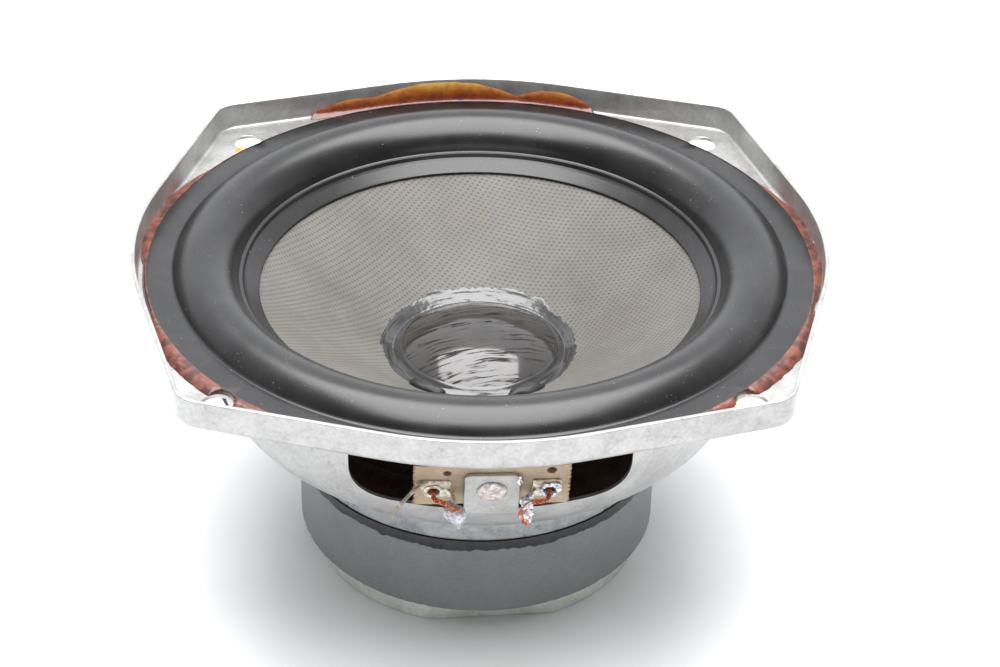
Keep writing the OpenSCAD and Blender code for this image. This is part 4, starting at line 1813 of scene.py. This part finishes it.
def frames_along(path: np.ndarray, up: Sequence[float]) -> tuple[np.ndarray, np.ndarray]:
    """Side and up directions that turn as little as they can along a path.

    Args:
        path: Points of the path.
        up: Which way up starts.

    Returns:
        The side and the up direction at each point.
    """
    ahead = np.gradient(path, axis=0)
    ahead /= np.linalg.norm(ahead, axis=1, keepdims=True)
    lift = np.array(up, float)
    sides, lifts = [], []
    for way in ahead:
        lift = lift - way * (lift @ way)
        lift = lift / np.linalg.norm(lift)
        sides.append(np.cross(way, lift))
        lifts.append(lift)
    return np.array(sides), np.array(lifts)


def sweep(path: np.ndarray, section: Sequence[Pair], up: Sequence[float] = (0, 0, 1),
          taper: Callable[[float], float] = lambda t: 1.0) -> tuple[np.ndarray, list]:
    """Points and faces of a closed bar along a path.

    Args:
        path: Its centre line, in millimetres.
        section: Its section, as points across and up.
        up: Which way the section's up starts.
        taper: Scale of the section, by share of the path.

    Returns:
        The points and the faces.
    """
    sides, lifts = frames_along(path, up)
    count = len(section)
    rings = []
    for i, centre in enumerate(path):
        scale = taper(i / (len(path) - 1))
        rings += [centre + scale * (u * sides[i] + v * lifts[i]) for u, v in section]
    faces = ring_faces(len(path), count, False)
    faces += [tuple(range(count)), tuple(range((len(path) - 1) * count, len(path) * count))]
    return np.array(rings), faces


def join_meshes(parts: Sequence[tuple[np.ndarray, list]]) -> tuple[np.ndarray, list]:
    """One list of points and faces out of several.

    Args:
        parts: Points and faces of each mesh.

    Returns:
        The points and faces of all of them together.
    """
    points, faces, start = [], [], 0
    for shape, sides in parts:
        points.append(shape)
        faces += [tuple(k + start for k in side) for side in sides]
        start += len(shape)
    return np.concatenate(points), faces


def circle(radius: float, count: int) -> list[Pair]:
    """Points round a circle."""
    return [(radius * math.cos(TURN * k / count), radius * math.sin(TURN * k / count))
            for k in range(count)]


def molten(name: str, at: Sequence[float],
           balls: Sequence[tuple[Sequence[float], Sequence[float]]],
           rough: float, grain: float) -> bpy.types.Object:
    """A blob run together from ellipsoids.

    Args:
        name: Name of the piece.
        at: Place that the centres are measured from, in millimetres.
        balls: Centre and three radii of each ellipsoid.
        rough: Height of its unevenness, in millimetres.
        grain: Width of its unevenness.

    Returns:
        The object.
    """
    parts = []
    rows, columns = 12, 20
    for centre, radii in balls:
        shape = []
        for i in range(rows + 1):
            up = math.pi * i / rows - math.pi / 2
            for j in range(columns):
                a = TURN * j / columns
                shape.append((math.cos(up) * math.cos(a), math.cos(up) * math.sin(a),
                              math.sin(up)))
        points = np.add(at, centre) + np.array(shape) * radii
        parts.append((points, ring_faces(rows + 1, columns, False)))
    piece = make_piece(name, *join_meshes(parts))
    shrink = piece.modifiers.new("one_skin", "REMESH")
    shrink.mode = "VOXEL"
    shrink.voxel_size = 0.14 * MM
    soft = piece.modifiers.new("soft", "SMOOTH")
    soft.factor = 0.5
    soft.iterations = 5
    apply_modifiers(piece)
    normals = [v.normal.copy() for v in piece.data.vertices]
    for v, normal in zip(piece.data.vertices, normals):
        v.co += normal * (rough * MM * wander([c / MM for c in v.co], grain, 4))
    tidy_mesh(piece, 60)
    return piece


@dataclass
class Terminals:
    """Fibre board on the tab, with its rivet, eyelets, lugs and solder."""

    tab: TabFrame
    board_half: float = 17.6
    board_y: Pair = (1.0, 2.2)
    board_s: Pair = (0.9, 15.5)
    teeth: int = 9
    tooth: float = 0.55
    eyelet: Pair = (13.0, 6.7)
    bore_r: float = 1.35
    rivet_s: float = 7.0
    lug: tuple[Pair, ...] = ((9.2, 10.2), (15.4, 10.4), (15.7, 7.2), (14.8, 4.4), (8.8, 4.2))
    lug_y: Pair = (0.5, 1.0)

    def turned(self, name: str, outline: Sequence[Pair], x: float, s: float,
               columns: int = 64) -> bpy.types.Object:
        """A turned piece on the board whose axis points out of it.

        Args:
            name: Name of the piece.
            outline: Closed outline of radius and distance out of the tab's face.
            x: Its place across the tab.
            s: Its place up the tab.
            columns: Points round it.

        Returns:
            The object, still in the tab's own directions.
        """
        piece = lathe(name, outline, columns, 35)
        lie = Matrix.Rotation(math.radians(90), 4, "X")
        piece.data.transform(Matrix.Translation(Vector((x, 0, s)) * MM) @ lie)
        return piece

    def drill(self, x: float, s: float, radius: float) -> bpy.types.Object:
        """A drill through the board."""
        return self.turned("drill", [(0, -4), (radius, -4), (radius, 2), (0, 2)], x, s, 32)

    def board(self) -> bpy.types.Object:
        """The board, with pinked ends, eyelet holes and two spare holes.

        Returns:
            The board, in the tab's directions.
        """
        low, high = self.board_s
        right = []
        for k in range(2 * self.teeth + 1):
            s = low + (high - low) * k / (2 * self.teeth)
            cut = self.tooth if k % 2 else 0.0
            right.append((self.board_half - cut + 0.22 * wander((k, 3, 0), 1.7), s))
        left = [(-x + 0.2 * wander((s, 8, 0), 1.3), s) for x, s in right[::-1]]
        piece = plate("terminal_strip", right + left, *self.board_y, 0.03)
        drills = [self.drill(side * self.eyelet[0], self.eyelet[1], self.bore_r + 0.3)
                  for side in Side]
        drills += [self.drill(-10.0, 12.6, 0.95), self.drill(13.2, 13.4, 1.15)]
        combine(piece, drills, Join.CUT, 30)
        return piece

    def rivet(self) -> bpy.types.Object:
        """The rivet: a flat head in front, its shank, and a set head behind.

        Returns:
            The rivet, in the tab's directions.
        """
        outline = [(0, 0.86), (1.2, 0.90), (2.5, 0.86), (2.95, 0.66), (3.35, 0.42), (3.5, 0.2),
                   (3.45, 0.0), (1.6, 0.0), (1.6, -2.2), (2.6, -2.2), (2.5, -2.6), (1.7, -2.9),
                   (0, -2.85)]
        return self.turned("rivet_head", outline, 0.0, self.rivet_s)

    def eyelet_piece(self, side: Side) -> bpy.types.Object:
        """An eyelet whose barrel is rolled over in front and behind.

        Args:
            side: Which of the two.

        Returns:
            The eyelet, in the tab's directions.
        """
        bore, wall = self.bore_r, 0.35
        front, back = -self.lug_y[0], -self.board_y[1]
        outline = [(bore, front + 0.15), (bore + 0.15, front + 0.32), (bore + 0.55, front + 0.36),
                   (bore + 0.88, front + 0.2), (bore + 0.92, front), (bore + wall, front),
                   (bore + wall, back), (bore + 0.8, back), (bore + 0.8, back - 0.2),
                   (bore + 0.4, back - 0.3), (bore, back - 0.2)]
        piece = self.turned(f"eyelet_ring_{side.label}", outline, side * self.eyelet[0],
                            self.eyelet[1], 96)
        centre = Vector((side * self.eyelet[0], 0, self.eyelet[1]))
        claws = 6
        for v in piece.data.vertices:
            off = v.co / MM - centre
            out = -off.y
            radius = math.hypot(off.x, off.z)
            if out > front - 0.05 and radius > bore + 0.05:
                a = math.atan2(off.z, off.x)
                petal = 0.5 + 0.5 * math.cos(claws * a + side)
                grow = (0.30 if side is Side.RIGHT else 0.12) * (petal - 0.35)
                grow += 0.10 * wander((off.x, off.z, side), 0.7, 3)
                v.co.x += grow * off.x / radius * MM
                v.co.z += grow * off.z / radius * MM
                v.co.y -= (0.28 if side is Side.RIGHT else 0.06) * petal * MM
        tidy_mesh(piece, 45)
        return piece

    def strap(self, name: str, points: Sequence[Sequence[float]], half: float,
              thick: float = 0.5, tip: float = 0.75) -> bpy.types.Object:
        """A flat strip of the lug along points in the tab's directions.

        Args:
            name: Name of the piece.
            points: Points of its centre line.
            half: Half its width.
            thick: Its thickness.
            tip: Width of its end, as a share.

        Returns:
            The strip.
        """
        path = smooth_path(points, 0.45)
        t = thick / 2
        section = round_corners([(-half, -t), (half, -t), (half, t), (-half, t)], 0.12, 2)
        shape, faces = sweep(path, section, (0, 1, 0.2),
                             lambda share: 1 - (1 - tip) * max(0.0, share - 0.7) / 0.3)
        return make_piece(name, shape, faces, 35)

    def lug_piece(self, side: Side) -> bpy.types.Object:
        """A lug: its plate round the eyelet, its tongue and, on the left, its tail.

        Args:
            side: Which of the two.

        Returns:
            The lug, in the tab's directions.
        """
        outline = [(side * x, s) for x, s in self.lug]
        piece = plate(f"lug_plate_{side.label}", round_corners(outline, 0.7, 4), *self.lug_y,
                      0.1)
        middle = sum(self.lug_y) / 2
        tongue = [(9.6, middle, 6.1), (8.9, 0.1, 6.2), (8.5, -1.4, 6.1), (8.2, -3.4, 6.0)]
        adds = [self.strap("tongue", [(side * x, y, s) for x, y, s in tongue], 1.15)]
        if side is Side.LEFT:
            tail = [(-14.2, middle, 9.2), (-15.6, 0.5, 9.3), (-16.9, -0.7, 9.4),
                    (-18.5, -2.4, 9.45), (-20.0, -4.1, 9.1), (-21.4, -5.6, 8.3),
                    (-22.6, -7.0, 7.2)]
            adds.append(self.strap("tail", tail, 0.95, 0.6, 0.8))
        hole = self.drill(side * self.eyelet[0], self.eyelet[1], self.bore_r + 0.28)
        combine(piece, adds, Join.ADD, 35)
        combine(piece, [hole], Join.CUT, 35)
        return piece

    def solder_left(self) -> bpy.types.Object:
        """The dull left blob, drawn out to a spike at the bottom.

        Returns:
            The blob.
        """
        balls = [((0, -0.8, 0), (2.5, 1.8, 2.2)), ((0.7, -0.7, -1.3), (2.0, 1.5, 1.7)),
                 ((-1.2, -0.9, 0.6), (1.4, 1.2, 1.3)), ((1.3, -1.0, 0.4), (1.2, 1.1, 1.4)),
                 ((0.9, -0.1, -2.6), (0.9, 0.8, 1.2)), ((1.0, 0, -3.9), (0.38, 0.36, 1.1)),
                 ((-1.3, 0.9, 1.2), (1.1, 1.2, 0.8))]
        return molten("solder_blob_left", (-6.9, -72.9, 59.0), balls, 0.16, 1.1)

    def solder_right(self) -> bpy.types.Object:
        """The bright right blob, long and crumpled round the braid.

        Returns:
            The blob.
        """
        balls = [((0.1, 0, 0.5), (1.4, 1.3, 1.5)), ((0.4, 0, -1.3), (1.2, 1.1, 1.7)),
                 ((-0.1, 0.2, -3.2), (1.5, 1.2, 1.5)), ((0.4, 0.4, -4.9), (1.0, 0.8, 1.2)),
                 ((-1.1, -0.3, -3.4), (0.4, 0.6, 1.4)), ((1.4, -0.2, -1.6), (0.35, 0.6, 2.0)),
                 ((0.9, -0.7, -3.4), (0.35, 0.5, 1.5)), ((1.0, 0.6, 1.5), (0.9, 1.0, 0.8))]
        return molten("solder_blob_right", (8.8, -72.9, 61.2), balls, 0.34, 0.8)

    def splashes(self) -> bpy.types.Object:
        """Small drops of solder on the tab and on the right eyelet.

        Returns:
            The drops, as one piece.
        """
        balls = [((6.1, -0.05, 10.4), (0.7, 0.35, 1.3)), ((6.2, 0.1, 11.9), (0.4, 0.3, 0.7)),
                 ((-1.7, -0.05, 0.9), (0.45, 0.2, 0.3)), ((0.4, -0.05, 1.1), (0.5, 0.2, 0.35)),
                 ((14.9, 0.25, 8.3), (0.8, 0.4, 1.1)), ((13.9, 0.2, 9.3), (1.2, 0.4, 0.45)),
                 ((12.0, 0.2, 9.0), (0.7, 0.35, 0.5)), ((15.2, 0.35, 6.6), (0.4, 0.3, 1.0))]
        return molten("solder_splash", (0, 0, 0), balls, 0.12, 0.7)

    def build(self) -> None:
        """Builds and dresses the terminals."""
        tinned = Wrought("tinned_brass", (0.74, 0.70, 0.62), (0.40, 0.35, 0.27), 0.33)
        bright = Wrought("bright_tin", (0.80, 0.81, 0.83), (0.36, 0.37, 0.39), 0.16, 1.0)
        dull = Wrought("dull_solder", (0.62, 0.63, 0.66), (0.40, 0.40, 0.43), 0.5, 0.9)
        rivet = Wrought("rivet_metal", (0.74, 0.68, 0.65), (0.46, 0.41, 0.38), 0.44, 1.2)
        settle = self.tab.settle
        hand_over(settle(self.board()), Body.FIXED, "board_fibre", FibreBoard().make(),
                  "terminal_board")
        hand_over(settle(self.rivet()), Body.FIXED, "rivet_metal", rivet.make(), "board_rivet")
        tin, silver, grey = tinned.make(), bright.make(), dull.make()
        for side, ring in ((Side.LEFT, tin), (Side.RIGHT, silver)):
            hand_over(settle(self.lug_piece(side)), Body.FIXED, "tinned_brass", tin,
                      f"lug_{side.label}")
            hand_over(settle(self.eyelet_piece(side)), Body.FIXED, "tinned_brass", ring,
                      f"eyelet_{side.label}")
        hand_over(self.solder_left(), Body.FIXED, "solder", grey, "solder_left")
        hand_over(self.solder_right(), Body.FIXED, "solder", silver, "solder_right")
        hand_over(settle(self.splashes()), Body.FIXED, "solder", silver)


@dataclass
class TinselLead:
    """A braided copper lead from a terminal, in through its eyelet, to the cone."""

    name: str
    route: tuple[tuple[float, float, float], ...]
    loops: tuple[tuple[tuple[float, float, float], ...], ...]
    strands: int = 8
    braid_r: float = 0.42
    strand_r: float = 0.115
    pitch: float = 4.2
    board_point: int = 5

    def braid(self) -> list[tuple[np.ndarray, list]]:
        """The braid: half of the strands turn one way and half the other.

        Returns:
            Points and faces of each strand.
        """
        path = smooth_path([[c / MM for c in point] for point in self.route], 0.45)
        sides, lifts = frames_along(path, (0, 0, 1))
        run = np.concatenate([[0], np.cumsum(np.linalg.norm(np.diff(path, axis=0), axis=1))])
        parts = []
        for k in range(self.strands):
            turn = 1 if k % 2 else -1
            a = turn * TURN * run / self.pitch + TURN * (k // 2) / (self.strands / 2)
            r = self.braid_r + 0.10 * np.cos(self.strands / 2 * a + k % 2 * math.pi)
            shape = path + r[:, None] * (np.cos(a)[:, None] * sides + np.sin(a)[:, None] * lifts)
            parts.append(sweep(shape, circle(self.strand_r, 6)))
        return parts

    def build(self) -> bpy.types.Object:
        """Builds the braid and the loose loops at its soldered end.

        Returns:
            The braid.
        """
        parts = self.braid()
        for loop in self.loops:
            for k in range(3):
                shift = 0.26 * (k - 1)
                points = [(x + shift * 0.6, y - 0.1 * k, z + shift) for x, y, z in loop]
                parts.append(sweep(smooth_path(points, 0.3), circle(0.12, 6)))
        return make_piece(f"braid_{self.name}", *join_meshes(parts), 60)

    def dress(self, piece: bpy.types.Object, copper: bpy.types.Material) -> None:
        """Gives the lead its copper and bakes its transform into its mesh.

        Args:
            piece: The braid.
            copper: Its material.
        """
        dress_bending(piece, copper, f"tinsel_lead_{self.name}")
        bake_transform(piece)


@dataclass
class Studio:
    """Camera, lights and floor."""

    azimuth: float = -2.266
    elevation: float = 33.462
    roll: float = 1.288
    distance: float = 0.653267
    target: tuple[float, float, float] = (0.006789, 0.041924, 0.030392)
    lens: float = 87.88
    room_light: float = 1.8
    room_front: Colour = (0.05, 0.05, 0.05)
    room_side: Colour = (0.30, 0.303, 0.306)
    room_back: Colour = (0.97, 0.98, 1.0)

    def camera(self) -> None:
        """Sets the camera at its angles round the target."""
        az, el, roll = (math.radians(v) for v in (self.azimuth, self.elevation, self.roll))
        back = Vector((math.sin(az) * math.cos(el), -math.cos(az) * math.cos(el), math.sin(el)))
        right = Vector((math.cos(az), math.sin(az), 0))
        up = back.cross(right)
        x = right * math.cos(roll) + up * math.sin(roll)
        y = up * math.cos(roll) - right * math.sin(roll)
        data = bpy.data.cameras.new("camera")
        data.lens = self.lens
        data.sensor_width = 36
        data.clip_start = 0.01
        camera = bpy.data.objects.new("camera", data)
        turn = Matrix((x, y, back)).transposed().to_4x4()
        camera.matrix_world = Matrix.Translation(Vector(self.target) + back * self.distance) @ turn
        bpy.context.scene.collection.objects.link(camera)
        bpy.context.scene.camera = camera

    def softbox(self, name: str, azimuth: float, elevation: float, away: float,
                size: Pair, power: float) -> None:
        """A rectangular area light aimed at the driver.

        Args:
            name: Name of the light.
            azimuth: Angle from +Y towards +X, in degrees.
            elevation: Angle above the floor, in degrees.
            away: Distance from the driver, in metres.
            size: Width and height, in metres.
            power: Power, in watts.
        """
        az, el = math.radians(azimuth), math.radians(elevation)
        way = Vector((math.sin(az) * math.cos(el), math.cos(az) * math.cos(el), math.sin(el)))
        data = bpy.data.lights.new(name, "AREA")
        data.shape = "RECTANGLE"
        data.size, data.size_y = size
        data.energy = power
        light = bpy.data.objects.new(name, data)
        light.location = way * away + Vector((0, 0, 0.055))
        light.rotation_euler = way.to_track_quat("Z", "Y").to_euler()
        bpy.context.scene.collection.objects.link(light)

    def world(self) -> None:
        """A white room behind the driver, that darkens towards the camera."""
        world = bpy.data.worlds.new("studio")
        world.use_nodes = True
        tree = world.node_tree
        coordinates = tree.nodes.new("ShaderNodeTexCoord")
        split = tree.nodes.new("ShaderNodeSeparateXYZ")
        share = tree.nodes.new("ShaderNodeMapRange")
        share.inputs["From Min"].default_value = -1
        ramp = tree.nodes.new("ShaderNodeValToRGB").color_ramp
        ramp.elements[0].color = (*self.room_front, 1)
        ramp.elements[1].color = (*self.room_back, 1)
        ramp.elements.new(0.5).color = (*self.room_side, 1)
        paint = tree.nodes["Color Ramp"]
        background = tree.nodes["Background"]
        background.inputs["Strength"].default_value = self.room_light
        tree.links.new(coordinates.outputs["Generated"], split.inputs[0])
        tree.links.new(split.outputs["Y"], share.inputs["Value"])
        tree.links.new(share.outputs[0], paint.inputs[0])
        tree.links.new(paint.outputs[0], background.inputs["Color"])
        bpy.context.scene.world = world

    def floor(self) -> None:
        """The white paper that the driver stands on."""
        half = 6000.0
        low = -0.02
        points = [(-half, -half, low), (half, -half, low), (half, half, low), (-half, half, low)]
        floor = make_piece("floor", np.array(points), [(0, 1, 2, 3)])
        if floor.data.polygons[0].normal.z < 0:
            floor.data.flip_normals()
        floor.data.materials.append(Floor().make())

    def build(self) -> None:
        """Sets up the whole studio."""
        scene = bpy.context.scene
        scene.view_settings.view_transform = "Standard"
        self.camera()
        self.world()
        self.floor()
        self.softbox("overhead", azimuth=0, elevation=89, away=1.1, size=(1.05, 1.38), power=33.0)
        self.softbox("low_fill", azimuth=180, elevation=9, away=1.2, size=(1.6, 0.3), power=2.2)


def left_lead() -> TinselLead:
    """The left lead's route, in metres, and its loose loops, in millimetres.

    Returns:
        The lead, not built yet.
    """
    route = (
        (-0.0069, -0.0726, 0.0594), (-0.0086, -0.0722, 0.0604), (-0.0103, -0.0712, 0.0604),
        (-0.0115, -0.0698, 0.0602), (-0.0116, -0.068, 0.0608), (-0.0116, -0.0656, 0.0616),
        (-0.0118, -0.062, 0.0616), (-0.012, -0.058, 0.0596), (-0.0122, -0.054, 0.057),
        (-0.0124, -0.05, 0.0548), (-0.0126, -0.045, 0.053), (-0.0128, -0.04, 0.052),
        (-0.013, -0.035, 0.0514), (-0.0131, -0.03, 0.0512), (-0.0134, -0.026, 0.0518),
        (-0.0136, -0.0228, 0.0526))
    loops = (
        ((-8.9, -72.6, 61.2), (-8.1, -74.1, 61.3), (-6.9, -74.7, 61.0), (-5.6, -74.6, 60.2),
         (-4.9, -74.0, 58.9), (-4.9, -73.4, 57.8)),
        ((-9.2, -72.4, 60.0), (-8.7, -74.0, 60.2), (-7.6, -74.8, 60.3), (-6.3, -74.9, 60.9)))
    return TinselLead("left", route, loops)


def right_lead() -> TinselLead:
    """The right lead's route, in metres, and its loose loops, in millimetres.

    Returns:
        The lead, not built yet.
    """
    route = (
        (0.0088, -0.0726, 0.0606), (0.0102, -0.0722, 0.061), (0.012, -0.0716, 0.0608),
        (0.0138, -0.07, 0.0602), (0.0144, -0.0674, 0.0608), (0.0144, -0.065, 0.0616),
        (0.0142, -0.0615, 0.0616), (0.0138, -0.0575, 0.0596), (0.0134, -0.0535, 0.057),
        (0.013, -0.0495, 0.0548), (0.0126, -0.0445, 0.053), (0.0122, -0.0395, 0.052),
        (0.0118, -0.0345, 0.0514), (0.0116, -0.03, 0.0512), (0.0115, -0.0264, 0.0518),
        (0.0114, -0.0234, 0.0526))
    loops = (
        ((11.2, -72.3, 61.9), (9.8, -73.6, 62.3), (8.3, -74.1, 61.4), (7.5, -74.0, 59.8),
         (7.3, -73.6, 58.2)),
        ((9.0, -74.1, 60.6), (8.0, -74.4, 59.0), (8.2, -74.3, 57.4), (9.2, -73.9, 56.2),
         (9.9, -73.4, 55.9)))
    return TinselLead("right", route, loops)


def main() -> None:
    """Builds the driver, sub-assembly by sub-assembly."""
    logging.basicConfig(level=logging.INFO, format="%(name)s: %(message)s")
    Studio().build()
    rim = Rim()
    tab = TabFrame()
    basket = Basket(rim, tab)
    basket.dress(basket.build())
    surround = Surround()
    surround.dress(surround.build(rim))
    spider = Spider()
    spider.dress(spider.build())
    ConeAssembly().build()
    Motor().build()
    RimGlue(rim).dress()
    Terminals(tab).build()
    copper = Wrought("copper_braid", (0.95, 0.34, 0.16), (0.30, 0.04, 0.015), 0.2, 0.5).make()
    for lead in (left_lead(), right_lead()):
        lead.dress(lead.build(), copper)


if __name__ == "__main__":
    main()
